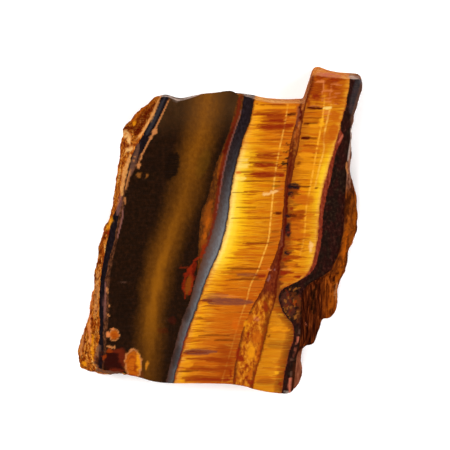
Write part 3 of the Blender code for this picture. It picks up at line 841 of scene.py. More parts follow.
def brush_orbs(paint):
    """The ringed orbs and the dark red glow in the south west corner of the face."""
    paint.seen = paint.grainy
    paint.blobs("garnet", 0.9, (-31.4, -38.4, 3.9, 3.9, 30))
    paint.blobs("wine", 0.75, (-28.9, -37.4, 1.4, 3.2, 10), (-30.6, -35.4, 1.8, 0.7),
        (-30.4, -41.3, 2.6, 0.7))
    paint.blobs("rust", 0.95, (-31.6, -30.3, 1.6, 1.6))
    paint.blobs("russet", 0.6, (-31.4, -30.6, 0.9, 0.9))
    paint.ring("tan", 0.9, 0.4, -31.5, -30.4, 1.55, 1.65)
    paint.blobs("peach", 0.95, (-33.2, -30.2, 0.5, 1), (-31.9, -28.5, 0.6, 0.35))
    paint.blobs("russet", 0.8, (-32.8, -35.2, 0.9, 0.8), (-34.4, -37.2, 0.5, 1.2, -16))
    paint.line("tan", 0.9, 0.6, (-33.7, -34), (-32.9, -34), (-32.6, -34.6))
    paint.line("tan", 0.9, 0.6, (-32.2, -34.3), (-31.4, -34), (-31, -34.8))
    paint.blobs("rust", 0.95, (-25.8, -39.4, 2.6, 4.5))
    paint.blobs("amber", 0.85, (-24.1, -38.6, 0.8, 3.4))
    paint.ring("russet", 0.7, 0.5, -26.1, -39.2, 1.2, 2.2)
    paint.ring("tan", 0.9, 0.5, -25.7, -39.3, 2.4, 4.4)
    paint.blobs("russet", 0.8, (-24.9, -40.6, 0.7, 1.6), (-26.6, -43, 1.6, 0.7))
    paint.blobs("ochre", 0.9, (-21.6, -39.9, 0.6, 1.5))
    paint.blobs("chestnut", 0.8, (-23.2, -43, 0.8, 1.2))
    paint.line("tan", 0.6, 0.6, (-24.6, -43.8), (-22.6, -44.2), (-20.6, -44.7))
    paint.line("mauve", 0.9, 1.4, (-37, -41.2), (-34, -42.1), (-29.6, -42.2))


def brush_west_rind(paint):
    """The natural skin on the left: facet, knobs, dark hollows and orange streaks."""
    paint.seen = paint.grainy
    paint.line("umber", 0.5, 6.4, (-18.8, 41.6), (-21.2, 39.4), (-23.6, 36.8), (-26.4, 33.8),
        (-28, 32.4))
    paint.line("rust", 0.5, 1.6, (-21.8, 39.4), (-24, 37), (-26, 34.8))
    paint.blobs("maroon", 0.6, (-22.6, 37.2, 1, 2.6, -42), (-24, 35, 1, 1.6, -42))
    paint.line("maroon", 0.85, 1.9, (-19.2, 40.2), (-20.9, 37.2), (-22.6, 34.2), (-24, 31.8),
        (-25, 30.4))
    paint.blobs("amber", 0.8, (-25.2, 34.3, 0.6, 0.7))
    paint.blobs("maroon", 0.7, (-24.5, 32.2, 1.5, 1.4))
    paint.blobs("umber", 0.5, (-24.6, 29.4, 1.2, 1.2))
    paint.line("maroon", 0.95, 1.2, (-25.2, 33), (-26.4, 32.8), (-28.2, 33))
    paint.blobs("cream", 0.8, (-28, 31, 1, 1.4, -8))
    paint.blobs("rust", 0.8, (-27.8, 31, 0.35, 0.5), (-28.4, 29.9, 0.4, 0.4))
    paint.line("wine", 0.9, 0.8, (-28.8, 28.8), (-28, 27.5), (-26.8, 26.9))
    paint.blobs("sand", 0.9, (-26.8, 29.4, 0.7, 2.2, 4), (-26.7, 26.3, 1.6, 0.7, 24))
    paint.blobs("cream", 0.9, (-26.8, 29, 0.35, 1.4, 4))
    paint.blobs("cream", 0.7, (-26.9, 26, 1.2, 0.6, 24))
    paint.line("sand", 0.75, 1.6, (-26.4, 24.4), (-27.2, 22), (-28.1, 19.2), (-28.7, 15.6),
        (-29, 12.4))
    paint.blobs("brick", 0.85, (-33.6, 0.9, 0.9, 0.7), (-36.8, -22.4, 0.5, 1),
        (-36.4, -17, 0.3, 1.2))
    paint.blobs("amber", 0.7, (-32.8, 3.6, 0.8, 2.6, -24))
    paint.line("sand", 0.45, 1.6, (-36.4, -11), (-36.7, -17), (-37.2, -24))
    paint.line("umber", 0.5, 1.2, (-36.6, -26.6), (-36.8, -30), (-37, -33.4))
    paint.line("peach", 0.45, 0.8, (-37.6, -14), (-38, -17.4), (-38.5, -20), (-39, -23),
        (-39.6, -26))
    paint.line("tan", 0.8, 0.7, (-40.9, -30), (-41.5, -33.6), (-41.9, -37))
    paint.line("wine", 0.8, 0.6, (-40, -27), (-40.5, -31), (-40.9, -35), (-41, -38.4))
    paint.line("peach", 0.8, 1, (-38.9, -24.6), (-39.2, -28), (-38.8, -32), (-38.4, -35))
    paint.line("amber", 0.8, 1, (-38, -30.4), (-38.2, -34), (-38, -38))
    paint.blobs("amber", 0.8, (-40.8, -39.4, 0.7, 0.8))
    paint.line("maroon", 0.7, 0.8, (-42.6, -37.4), (-42.4, -39), (-42, -40.2))
    paint.line("mauve", 0.85, 1.5, (-36, -33.6), (-36.7, -36.8), (-36.9, -40.4))
    paint.blobs("bark", 0.85, (-36.6, -38.4, 0.6, 1.4), (-35.4, -36.2, 0.4, 1.6))
    # Small dark pits in the skin, spread wider towards the south
    crumbs = np.random.default_rng(9)
    for y in crumbs.uniform(-40, 4, 80):
        reach = 2.2 + 0.19 * max(0.0, -18.0 - y)
        x = np.interp(y, *zip(*sorted(NAVY_LEFT))) - crumbs.uniform(0.5, reach)
        paint.line("maroon", 0.75, 0.5, (x, y), (x + 0.1, y + crumbs.uniform(0.1, 1.2)))


def brushed(vertices):
    """All the marks, as a premultiplied colour and a cover for each vertex."""
    paint = Paint(vertices)
    brush_jasper(paint)
    brush_hawk_and_red(paint)
    brush_first_gold(paint)
    brush_lens(paint)
    brush_seam(paint)
    brush_second_gold(paint)
    brush_east(paint)
    brush_walls(paint)
    brush_west_lines(paint)
    brush_orbs(paint)
    brush_west_rind(paint)
    return np.column_stack([paint.colour, paint.cover])


# ---------------------------------------------------------------- the material

class Nodes:
    """Short ways to add the nodes of one material. Each gives back the new node's output."""

    def __init__(self, tree):
        self.tree = tree

    def add(self, kind, inputs=(), **settings):
        """A node with its settings, and its inputs fed by name or by number."""
        made = self.tree.nodes.new("ShaderNode" + kind)
        for name, value in settings.items():
            setattr(made, name, value)
        for name, value in dict(inputs).items():
            self.feed(made.inputs[name], value)
        return made

    def feed(self, socket, value):
        """Link a socket to an output, or give it a plain value."""
        if isinstance(value, bpy.types.NodeSocket):
            self.tree.links.new(value, socket)
        else:
            socket.default_value = value

    def math(self, operation, first, second=0.0, clamp=False):
        """A sum, a product or another operation on numbers."""
        inputs = {0: first, 1: second}
        return self.add("Math", inputs, operation=operation, use_clamp=clamp).outputs[0]

    plus = partialmethod(math, "ADD")
    less = partialmethod(math, "SUBTRACT")
    times = partialmethod(math, "MULTIPLY")

    def mix(self, share, first, second, blend="MIX"):
        """One colour over another."""
        made = self.add("Mix", {0: share, 6: first, 7: second}, data_type="RGBA", blend_type=blend)
        return made.outputs[2]

    def tint(self, share, colour, tint):
        """An even sRGB tint over a colour."""
        return self.mix(share, colour, linear(tint))

    def step(self, value, low, high, start=0.0, end=1.0):
        """A smooth change from start to end as a value goes from low to high."""
        inputs = {"Value": value, "From Min": low, "From Max": high, "To Min": start, "To Max": end}
        return self.add("MapRange", inputs, interpolation_type="SMOOTHSTEP").outputs[0]

    def vector(self, x, y, z):
        """A vector from three numbers."""
        return self.add("CombineXYZ", {0: x, 1: y, 2: z}).outputs[0]

    def noise(self, place, *waves, detail=2.0, roughness=0.5):
        """Soft noise, about 0.5, with waves of the given lengths along X, Y and Z."""
        inputs = {0: place, 1: [1.0 / wave for wave in waves]}
        stretched = self.add("VectorMath", inputs, operation="MULTIPLY").outputs[0]
        inputs = {"Vector": stretched, "Scale": 1.0, "Detail": detail, "Roughness": roughness}
        return self.add("TexNoise", inputs).outputs[0]

    def ramp(self, value, *stops):
        """Colours at positions from 0 to 1, each stop as a position and an sRGB colour."""
        made = self.add("ValToRGB", {0: value})
        elements = made.color_ramp.elements
        for position, *_ in stops[1:-1]:
            elements.new(position)
        for element, (position, *colour) in zip(elements, stops):
            element.position = position
            element.color = linear(colour)
        return made.outputs[0]

    def curve(self, value, points):
        """A smooth curve through (value, result) points, both from 0 to 1."""
        made = self.add("FloatCurve", {"Value": value})
        knots = made.mapping.curves[0].points
        for _ in points[2:]:
            knots.new(0.5, 0.5)
        for knot, place in zip(knots, sorted(points)):
            knot.location = place
        made.mapping.update()
        return made.outputs[0]

    def attribute(self, name):
        """A number kept on the mesh."""
        return self.add("Attribute", attribute_name=name).outputs["Fac"]


class StoneNodes(Nodes):
    """The nodes of one of the stone's materials, and the places that its colours share."""

    def __init__(self, tree):
        super().__init__(tree)
        inputs = {0: self.add("TexCoord").outputs["Object"], "Scale": 1.0 / MM}
        self.place = self.add("VectorMath", inputs, operation="SCALE").outputs[0]
        self.x, own_y, height = self.add("SeparateXYZ", {0: self.place}).outputs
        self.depth = self.less(THICKNESS, height)
        self.y = self.plus(own_y, self.times(self.depth, LEAN))
        self.seen = self.vector(self.x, self.y, self.times(self.depth, 0.5))
        self.along = self.math("DIVIDE", self.plus(self.y, CURVE_SPAN), 2.0 * CURVE_SPAN)
        wander = self.noise(self.seen, 1.1, 2.4, 4.0, detail=3.0)
        fray = self.noise(self.seen, 1.6, 0.35, 2.0)
        shift = self.plus(self.swing(wander, 0.9), self.swing(fray, 0.35))
        self.frayed_x = self.plus(self.x, shift)
        waves = self.noise(self.seen, 9.0, 14.0, 9.0, detail=1.0)
        bent_y = self.plus(self.y, self.swing(waves, 1.6))
        self.bent = self.vector(self.x, bent_y, self.times(self.depth, 0.5))

    def swing(self, value, width):
        """A noise made to swing evenly about zero."""
        return self.times(self.less(value, 0.5), width)

    def past(self, edge, plain=False):
        """How far east of a band's edge each place is, in millimetres."""
        points = [(share_of_span(y), share_of_span(x)) for y, x in edge]
        line = self.times(self.curve(self.along, points), 2.0 * CURVE_SPAN)
        return self.less(self.x if plain else self.frayed_x, self.less(line, CURVE_SPAN))

    def height(self, *points):
        """A value from 0 to 1 that changes with the seen y, from (y, value) points."""
        return self.curve(self.along, [(share_of_span(y), value) for y, value in points])


def fibres(nodes, colour, share):
    """Rust rows, brown streaks and hair-thin fibres across a golden band, the bright ones painted
    sheen.
    """
    for waves, low, high, strength, tint in (
        ((16, 1.3, 6), 0.46, 0.62, 0.65, (188, 84, 4)),
        ((12, 0.5, 3), 0.53, 0.63, 0.8, (148, 62, 4)),
        ((5, 0.2, 2), 0.5, 0.64, 0.5, (170, 80, 5)),
    ):
        streaks = nodes.noise(nodes.bent, *waves, detail=3, roughness=0.6)
        cover = nodes.times(nodes.step(streaks, low, high, 0, strength), share)
        colour = nodes.tint(cover, colour, tint)
    # Bright fibres: painted chatoyant highlights laid over the band's colour
    bright = nodes.noise(nodes.bent, 5, 0.28, 4, detail=2)
    return nodes.tint(nodes.step(bright, 0.56, 0.68, 0, 0.25), colour, (250, 190, 56))


def first_gold(nodes, from_edge):
    """The wide golden band, brightest along its left edge in the middle of the slab with painted
    chatoyant sheen.
    """
    share = nodes.math("DIVIDE", from_edge, 15)
    middle = nodes.ramp(share, (0, 92, 54, 14), (0.03, 240, 190, 96), (0.07, 252, 220, 102),
        (0.14, 250, 208, 52), (0.27, 246, 186, 20), (0.42, 232, 156, 10), (0.6, 220, 138, 10),
        (0.85, 207, 124, 11), (1, 192, 100, 12))
    north = nodes.ramp(share, (0, 92, 46, 12), (0.04, 234, 152, 30), (0.12, 244, 160, 14),
        (0.26, 222, 136, 10), (0.42, 206, 110, 8), (0.7, 202, 104, 10), (1, 190, 92, 14))
    south = nodes.ramp(share, (0, 92, 46, 12), (0.04, 222, 142, 50), (0.14, 232, 154, 20),
        (0.3, 214, 126, 18), (0.5, 198, 106, 18), (0.75, 178, 86, 12), (1, 164, 74, 12))
    # Where the painted chatoyant sheen lies: there the bright middle ramp is laid over the band's
    # own gold
    glow = nodes.height((-50, 0), (-22, 0), (-11, 0.35), (-5, 1), (16, 0.95), (24, 0.7), (31, 0.15),
        (40, 0), (50, 0))
    low = nodes.height((-50, 1), (-38, 1), (-28, 0.5), (-18, 0.1), (-10, 0), (50, 0))
    clear = nodes.times(glow, nodes.step(share, 0.16, 0.42, 0.85, 0))
    colour = nodes.mix(glow, nodes.mix(low, north, south), middle)
    return fibres(nodes, colour, nodes.less(1, clear))


def second_gold(nodes, from_edge, to_edge):
    """The golden band on the right, brightest along its right edge in the north with painted
    chatoyant sheen.
    """
    share = nodes.math("DIVIDE", to_edge, 12)
    plain = nodes.ramp(share, (0, 150, 84, 24), (0.04, 214, 132, 34), (0.14, 200, 112, 14),
        (0.5, 210, 124, 10), (0.8, 204, 118, 12), (1, 196, 108, 18))
    bright = nodes.ramp(share, (0, 170, 100, 30), (0.04, 238, 174, 60), (0.1, 240, 182, 26),
        (0.22, 228, 152, 14), (0.42, 222, 138, 8), (0.7, 214, 126, 8), (1, 204, 114, 16))
    tail = nodes.ramp(share, (0, 110, 52, 12), (0.1, 146, 78, 12), (0.17, 170, 94, 14),
        (0.23, 208, 127, 18), (0.5, 206, 124, 11), (1, 202, 118, 16))
    # Where the painted chatoyant sheen lies: there the bright ramp is laid over the plain gold
    glow = nodes.height((-50, 0), (-15, 0), (-5, 0.7), (5, 0.6), (10, 1), (25, 1), (33, 0.2),
        (50, 0.2))
    clear = nodes.times(glow, nodes.step(share, 0.2, 0.5, 0.6, 0))
    colour = nodes.mix(nodes.step(nodes.y, -22, -12), tail, nodes.mix(glow, plain, bright))
    share = nodes.times(nodes.step(nodes.y, -26, -18, 0.5, 1), nodes.less(1, clear))
    colour = fibres(nodes, colour, share)
    stain = nodes.height((-50, 0.1), (-24, 0.1), (-18, 0.6), (-14, 0.95), (-4, 0.85), (6, 0.8),
        (13, 0.6), (20, 0.35), (38, 0.2), (50, 0))
    blotch = nodes.noise(nodes.seen, 1.6, 0.9, 1, detail=3, roughness=0.6)
    reach = nodes.plus(from_edge, nodes.swing(blotch, 5))
    stain = nodes.times(stain, nodes.step(reach, 0, 3.6, 1, 0))
    return nodes.tint(stain, colour, (104, 40, 14))


def jasper(nodes):
    """Nearly black brown, with a soft stripe of olive brown light."""
    speckle = nodes.noise(nodes.seen, 1, 1.4, 1.4, detail=4, roughness=0.65)
    cloud = nodes.noise(nodes.seen, 4, 9, 5, detail=3, roughness=0.6)
    dark = nodes.ramp(speckle, (0.3, 22, 11, 3), (0.5, 32, 15, 5), (0.72, 47, 23, 8))
    lit = nodes.ramp(speckle, (0.3, 108, 58, 5), (0.5, 120, 67, 8), (0.72, 134, 78, 12))
    from_glow = nodes.past(BROWN_GLOW, plain=True)
    away = nodes.math("ABSOLUTE", from_glow)
    away = nodes.times(away, nodes.step(nodes.y, -24, 8, 1.2, 1))
    away = nodes.plus(away, nodes.swing(cloud, 4))
    light = nodes.height((-50, 0.4), (-40, 0.5), (-30, 0.72), (-20, 0.95), (-10, 1), (0, 0.9),
        (10, 0.8), (20, 0.85), (30, 1), (50, 0.85))
    halo = nodes.times(nodes.step(away, -1, 7.5, 1, 0), light)
    colour = nodes.mix(halo, dark, lit)
    waver = nodes.noise(nodes.seen, 3, 8, 5, detail=1)
    core = nodes.math("ABSOLUTE", nodes.plus(from_glow, nodes.swing(waver, 4)))
    south = nodes.height((-50, 0), (-38, 0.1), (-24, 0.35), (-14, 0.45), (-4, 0.3), (8, 0.1),
        (50, 0.1))
    core = nodes.times(nodes.step(core, 0.2, 2.2, 1, 0), south)
    colour = nodes.tint(core, colour, (158, 94, 12))
    veil = nodes.times(nodes.step(nodes.y, 28, 40, 0, 0.5), cloud)
    return nodes.tint(veil, colour, (110, 72, 36))


def hawk(nodes, from_edge, to_edge):
    """The bluish stripe: nearly black in the north, brown to blue grey in the middle, the blue grey
    partly its own colour and partly painted sheen.
    """
    grain = nodes.noise(nodes.seen, 0.6, 1.2, 1, detail=3, roughness=0.6)
    dark = nodes.ramp(grain, (0.3, 20, 11, 13), (0.52, 32, 22, 24), (0.7, 44, 34, 38))
    span = nodes.math("DIVIDE", from_edge, nodes.plus(from_edge, to_edge))
    across = nodes.plus(span, nodes.swing(grain, 0.5))
    pale = nodes.ramp(across, (0.04, 88, 56, 44), (0.28, 92, 70, 62), (0.6, 98, 90, 90),
        (0.85, 116, 116, 118))
    # How much the pale ramp shows along the stripe: partly the stripe's own blue grey, partly
    # painted sheen
    light = nodes.height((-50, 0.5), (-38, 0.6), (-26, 0.75), (-15, 0.85), (-5, 1), (5, 0.75),
        (15, 0.35), (25, 0.1), (35, 0), (50, 0))
    colour = nodes.mix(light, dark, pale)
    edge = nodes.step(to_edge, 0.1, 0.7, 0.85, 0)
    return nodes.tint(edge, colour, (40, 20, 12))


def seam(nodes, from_edge, to_edge):
    """The seam between the golden bands: orange brown with dark outlines."""
    grain = nodes.noise(nodes.seen, 1, 1.8, 1.2, detail=3, roughness=0.6)
    colour = nodes.ramp(grain, (0.3, 116, 42, 6), (0.45, 168, 80, 12), (0.58, 208, 120, 18),
        (0.75, 230, 160, 54))
    upper = nodes.ramp(grain, (0.36, 138, 60, 12), (0.5, 190, 96, 28), (0.64, 216, 128, 54))
    colour = nodes.mix(nodes.step(nodes.y, 24, 30), colour, upper)
    deep = nodes.ramp(grain, (0.3, 70, 16, 6), (0.5, 108, 38, 14), (0.72, 140, 62, 26))
    dark = nodes.height((-50, 0.1), (-24, 0.1), (-19, 0.5), (-15, 1), (0, 0.95), (13, 1),
        (20, 0.95), (24, 0.75), (27, 0.3), (34, 0.2), (50, 0.3))
    colour = nodes.mix(dark, colour, deep)
    inner = nodes.math("MINIMUM", from_edge, to_edge)
    return nodes.tint(nodes.step(inner, 0.2, 1.3, 0.9, 0), colour, (98, 34, 8))


def outer_dark(nodes):
    """The black band on the right, mottled with purple brown."""
    speckle = nodes.noise(nodes.seen, 0.8, 1.2, 0.9, detail=4, roughness=0.7)
    blotch = nodes.noise(nodes.seen, 2.4, 4, 2, detail=2)
    mauve = nodes.ramp(speckle, (0.34, 28, 7, 5), (0.52, 42, 15, 10), (0.68, 66, 32, 24))
    olive = nodes.ramp(speckle, (0.34, 20, 9, 6), (0.52, 32, 16, 10), (0.68, 52, 36, 22))
    return nodes.mix(nodes.step(blotch, 0.42, 0.58), mauve, olive)


def banded(nodes, from_gold):
    """The colours of all the bands from west to east, each laid over the one before."""
    from_hawk, from_second = nodes.past(HAWK_LEFT), nodes.past(SEAM_RIGHT)
    from_seam, gold_end = nodes.past(SEAM_LEFT), nodes.past(GOLD_RIGHT)
    grain = nodes.noise(nodes.seen, 0.6, 1.2, 0.8, detail=3)
    navy = nodes.ramp(grain, (0.3, 14, 7, 8), (0.6, 26, 17, 20), (0.8, 46, 38, 42))
    tan_line = nodes.ramp(grain, (0.34, 48, 22, 10), (0.5, 78, 42, 22), (0.66, 112, 66, 40))
    red = nodes.ramp(grain, (0.3, 62, 28, 8), (0.5, 86, 42, 10), (0.7, 110, 58, 12))
    red_brown = nodes.ramp(grain, (0.3, 96, 28, 10), (0.55, 132, 50, 28), (0.75, 156, 80, 54))
    layers = (
        (nodes.past(NAVY_LEFT), 0.25, navy),
        (nodes.past(NAVY_RIGHT), 0.25, tan_line),
        (nodes.past(SECOND_LINE_RIGHT), 0.5, jasper(nodes)),
        (nodes.past(RED_LEFT), 0.5, red),
        (from_hawk, 0.3, hawk(nodes, from_hawk, nodes.times(from_gold, -1))),
        (from_gold, 0.3, first_gold(nodes, from_gold)),
        (from_seam, 0.3, seam(nodes, from_seam, nodes.times(from_second, -1))),
        (from_second, 0.3, second_gold(nodes, from_second, nodes.times(gold_end, -1))),
        (gold_end, 0.3, red_brown),
        (nodes.past(RED_BROWN_RIGHT), 0.35, outer_dark(nodes)),
    )
    colour = rind_colour(nodes)
    for past, softness, over in layers:
        share = nodes.step(past, -0.5 * softness, 0.5 * softness)
        colour = nodes.mix(share, colour, over)
    return colour


def with_sheen_lines(nodes, colour):
    """The thin pale lines of light that run along the golden bands."""
    broken = nodes.noise(nodes.seen, 1.5, 1.1, 1, detail=2)
    first = (-50, 0.1), (-40, 0.2), (-30, 0.1), (-20, 0.35), (0, 0.7), (30, 0.6), (42, 0.4), (50, 0)
    second = (-50, 0), (-10, 0), (-4, 0.4), (12, 0.6), (32, 0.7), (44, 0.35), (50, 0.2)
    third = (-50, 0), (12, 0), (18, 0.5), (34, 0.6), (42, 0.1), (50, 0)
    for edge, width, strengths, tint in (
        (FIRST_SHEEN, 0.4, first, (250, 180, 66)),
        (SECOND_SHEEN, 0.45, second, (248, 172, 48)),
        (THIRD_SHEEN, 0.45, third, (252, 190, 76)),
    ):
        away = nodes.math("ABSOLUTE", nodes.past(edge, plain=True))
        share = nodes.step(away, 0.1, width, 1, 0)
        share = nodes.times(share, nodes.height(*strengths))
        share = nodes.times(share, nodes.step(broken, 0.35, 0.55, 0.35, 1))
        colour = nodes.tint(share, colour, tint)
    return colour


def rind_colour(nodes):
    """Natural skin on the left: brown and cream streaks along it, and pits darkened with painted
    shade.
    """
    streaks = nodes.noise(nodes.seen, 0.7, 2.6, 1.6, detail=4, roughness=0.65)
    colour = nodes.ramp(streaks, (0.36, 116, 42, 6), (0.45, 164, 76, 14), (0.53, 198, 112, 32),
        (0.6, 220, 142, 56), (0.7, 236, 184, 108))
    spots = nodes.noise(nodes.place, 0.5, 0.7, 0.7, detail=3, roughness=0.7)
    colour = nodes.tint(nodes.step(spots, 0.52, 0.57, 0, 0.85), colour, (112, 38, 6))
    # Painted shade in the pits of the relief
    hollow = nodes.step(nodes.attribute("hollow"), 0.1, 0.7, 0, 0.9)
    return nodes.tint(hollow, colour, (88, 33, 10))


def shell_colour(nodes):
    """The smooth brown skin on the right, with a painted grey pink sheen in the north."""
    soft = nodes.noise(nodes.seen, 1.4, 4, 3, detail=4, roughness=0.6)
    colour = nodes.ramp(soft, (0.34, 62, 24, 8), (0.5, 110, 48, 10), (0.66, 162, 82, 20))
    # A painted grey pink sheen over the skin in the north
    pink_sheen = nodes.times(nodes.step(nodes.y, 12, 18), nodes.step(soft, 0.4, 0.6))
    return nodes.tint(nodes.times(pink_sheen, 0.45), colour, (164, 136, 120))


def broken_colour(nodes):
    """Dark red brown ridges of the broken step, more orange towards the outside, with painted shade
    in the grooves.
    """
    streaks = nodes.noise(nodes.seen, 0.6, 6, 1.2, detail=4, roughness=0.6)
    inner = nodes.ramp(streaks, (0.34, 28, 7, 3), (0.46, 50, 16, 6), (0.56, 80, 30, 9),
        (0.68, 122, 56, 20))
    outer = nodes.ramp(streaks, (0.34, 56, 18, 5), (0.46, 94, 37, 7), (0.56, 134, 60, 10),
        (0.68, 170, 84, 24))
    colour = nodes.mix(nodes.step(nodes.x, 30, 33.5), inner, outer)
    # Painted shade in the grooves between the ridges
    hollow = nodes.step(nodes.attribute("hollow"), 0.05, 0.6, 0, 0.7)
    return nodes.tint(hollow, colour, (30, 9, 4))


def heel_colour(nodes):
    """The brown wall below the broken step."""
    soft = nodes.noise(nodes.seen, 1, 3, 2, detail=4, roughness=0.6)
    return nodes.ramp(soft, (0.34, 78, 36, 20), (0.5, 122, 66, 42), (0.66, 160, 98, 68))


def brushed_over(nodes, colour, kept=1):
    """The brushed marks laid over a colour, with fibrous edges."""
    paint = nodes.add("Attribute", attribute_name="paint")
    cover = nodes.math("MAXIMUM", paint.outputs["Alpha"], 0.001)
    inputs = {0: paint.outputs["Color"], 1: nodes.vector(cover, cover, cover)}
    tint = nodes.add("VectorMath", inputs, operation="DIVIDE").outputs[0]
    hairs = nodes.noise(nodes.bent, 3, 0.18, 1.2, detail=2, roughness=0.6)
    strength = nodes.step(hairs, 0.36, 0.52, 0.7, 1.06)
    share = nodes.times(paint.outputs["Alpha"], strength, clamp=True)
    return nodes.mix(nodes.times(share, kept), colour, tint)


def new_material(name, specular):
    """A material with the stone's gloss, its nodes and its shader."""
    material = bpy.data.materials.new(name)
    material.use_nodes = True
    shader = material.node_tree.nodes["Principled BSDF"]
    shader.inputs["IOR"].default_value = QUARTZ_IOR
    shader.inputs["Specular IOR Level"].default_value = specular
    return material, StoneNodes(material.node_tree), shader


def finish(nodes, shader, colour, shade, roughness, height, depth):
    """Feed a shader its darkened colour, its roughness and a bump some millimetres deep."""
    grey = (shade, shade, shade, 1.0)
    nodes.feed(shader.inputs["Base Color"], nodes.mix(1.0, colour, grey, "MULTIPLY"))
    nodes.feed(shader.inputs["Roughness"], roughness)
    inputs = {"Height": height, "Strength": BUMP_STRENGTH, "Distance": depth * MM}
    nodes.feed(shader.inputs["Normal"], nodes.add("Bump", inputs).outputs[0])


def polished_material():
    """The polished face: glassy, with the softer fibres very slightly lower."""
    material, nodes, shader = new_material("tigers_eye_polished", 0.5)
    bands = banded(nodes, nodes.past(HAWK_RIGHT))
    colour = brushed_over(nodes, with_sheen_lines(nodes, bands))
    fibre = nodes.noise(nodes.bent, 6, 0.25, 2, detail=3)
    gloss = nodes.step(fibre, 0.3, 0.7, 0.07, 0.16)
    finish(nodes, shader, colour, FACE_SHADE, gloss, fibre, 0.012)
    return material


def natural_material():
    """The sawn, natural and broken walls, and the sawn back."""
    material, nodes, shader = new_material("tigers_eye_natural", 0)
    from_gold = nodes.past(HAWK_RIGHT)
    bands = banded(nodes, from_gold)
    wall = nodes.step(nodes.depth, 0.4, 1.1)
    dust = nodes.times(nodes.attribute("sawn"), nodes.step(from_gold, -1, 1))
    dust = nodes.times(dust, nodes.times(wall, 0.45))
    spots = nodes.noise(nodes.place, 0.7, 0.7, 1, detail=4, roughness=0.7)
    powder = nodes.ramp(spots, (0.36, 160, 70, 32), (0.5, 214, 132, 78), (0.62, 236, 178, 128))
    colour = nodes.mix(dust, bands, powder)
    skins = {
        "rind": rind_colour(nodes), "shell": shell_colour(nodes),
        "broken": broken_colour(nodes), "heel": heel_colour(nodes),
    }
    for name, skin in skins.items():
        colour = nodes.mix(nodes.times(nodes.attribute(name), wall), colour, skin)
    patches = nodes.noise(nodes.place, 1.8, 1.8, 2.6, detail=5, roughness=0.65)
    worn = nodes.plus(nodes.attribute("sawn"), nodes.attribute("shell"))
    worn = nodes.times(worn, nodes.step(nodes.depth, 1.5, 6))
    worn = nodes.times(worn, nodes.step(patches, 0.44, 0.54, 0, 0.8))
    colour = brushed_over(nodes, colour, nodes.less(1, worn))
    grain = nodes.noise(nodes.place, 0.45, 0.45, 0.45, detail=4, roughness=0.6)
    gloss = nodes.step(grain, 0.3, 0.7, 0.5, 0.72)
    finish(nodes, shader, colour, WALL_SHADE, gloss, grain, 0.25)
    return material


# ---------------------------------------------------------------- the piece and the studio

def make_stone(node):
    """The finished stone, standing for the CAD node."""
    vertices, faces, hollows, rim = stone_parts(node)
    mesh = bpy.data.meshes.new("stone_slab")
    mesh.from_pydata((vertices * MM).tolist(), [], faces)
    masks = wall_masks(vertices)
    masks["hollow"] = hollows
    for name, values in masks.items():
        layer = mesh.attributes.new(name, "FLOAT", "POINT")
        layer.data.foreach_set("value", values.astype(np.float32))
    layer = mesh.attributes.new("paint", "FLOAT_COLOR", "POINT")
    layer.data.foreach_set("color", brushed(vertices).astype(np.float32).ravel())
    sides = side_of_faces(mesh, vertices)
    shade_faces(mesh, sides)
    mesh.materials.append(polished_material())
    mesh.materials.append(natural_material())
    mesh.polygons.foreach_set("material_index", np.where(sides == 1, 0, 1).astype(np.int32))
    add_map(mesh, vertices, sides, rim)
    stone = bpy.data.objects.new("stone_slab", mesh)
    bpy.context.scene.collection.objects.link(stone)
    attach(stone, "root")
    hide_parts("stone")
    return stone


def shade_faces(mesh, sides):
    """Turn the faces outwards and shade them smooth, with sharp rims and sharp ridges."""
    bm = bmesh.new()
    bm.from_mesh(mesh)
    bm.faces.ensure_lookup_table()
    bmesh.ops.recalc_face_normals(bm, faces=bm.faces)
    for face in bm.faces:
        face.smooth = True
    for edge in bm.edges:
        first, second = edge.link_faces
        same = sides[first.index] == sides[second.index]
        edge.smooth = bool(same) and edge.calc_face_angle(0.0) < SHARP_ANGLE
    bm.to_mesh(mesh)
    bm.free()


def side_of_faces(mesh, vertices):
    """1 for each mesh face on the polished face, -1 on the back and 0 on the walls."""
    sides = np.zeros(len(mesh.polygons), int)
    for index, polygon in enumerate(mesh.polygons):
        heights = [vertices[corner][2] for corner in polygon.vertices]
        if min(heights) > THICKNESS - LEVEL_GAP:
            sides[index] = 1
        elif max(heights) < LEVEL_GAP:
            sides[index] = -1
    return sides


def add_map(mesh, vertices, sides, rim):
    """A flat map for baked pictures: the face, two strips of wall above it, and the back."""
    layer = mesh.uv_layers.new(name="OFBake")
    corners = np.zeros(len(mesh.loops), int)
    mesh.loops.foreach_get("vertex_index", corners)
    counts = np.zeros(len(mesh.polygons), int)
    mesh.polygons.foreach_get("loop_total", counts)
    owner = np.repeat(np.arange(len(counts)), counts)
    places = vertices[corners]
    low = vertices[:, :2].min(axis=0)
    face_map = (places[:, :2] - low) * FACE_SCALE + MAP_GAP
    back_map = (places[:, :2] - low) * BACK_SCALE + np.array((BACK_START, MAP_GAP))
    steps = np.linalg.norm(np.roll(rim, -1, axis=0) - rim, axis=1)
    travel = np.concatenate([[0.0], np.cumsum(steps)[:-1]])
    round_rim = np.array([
        travel[((rim - place) ** 2).sum(axis=1).argmin()] for place in vertices[:, :2]
    ])[corners]
    length = steps.sum()
    first = round_rim[np.concatenate([[0], np.cumsum(counts)[:-1]])][owner]
    gap = round_rim - first
    round_rim = round_rim - length * np.round(gap / length)
    strip = np.clip(first // (0.5 * length), 0, 1)
    along = (round_rim - strip * 0.5 * length) * STRIP_SCALE + 2.0 * MAP_GAP
    up = STRIP_START + strip * STRIP_STEP + places[:, 2] * STRIP_SCALE
    wall_map = np.stack([along, up], axis=1)
    side = sides[owner][:, None]
    uv = np.where(side == 1, face_map, np.where(side == -1, back_map, wall_map))
    layer.data.foreach_set("uv", uv.astype(np.float32).ravel())


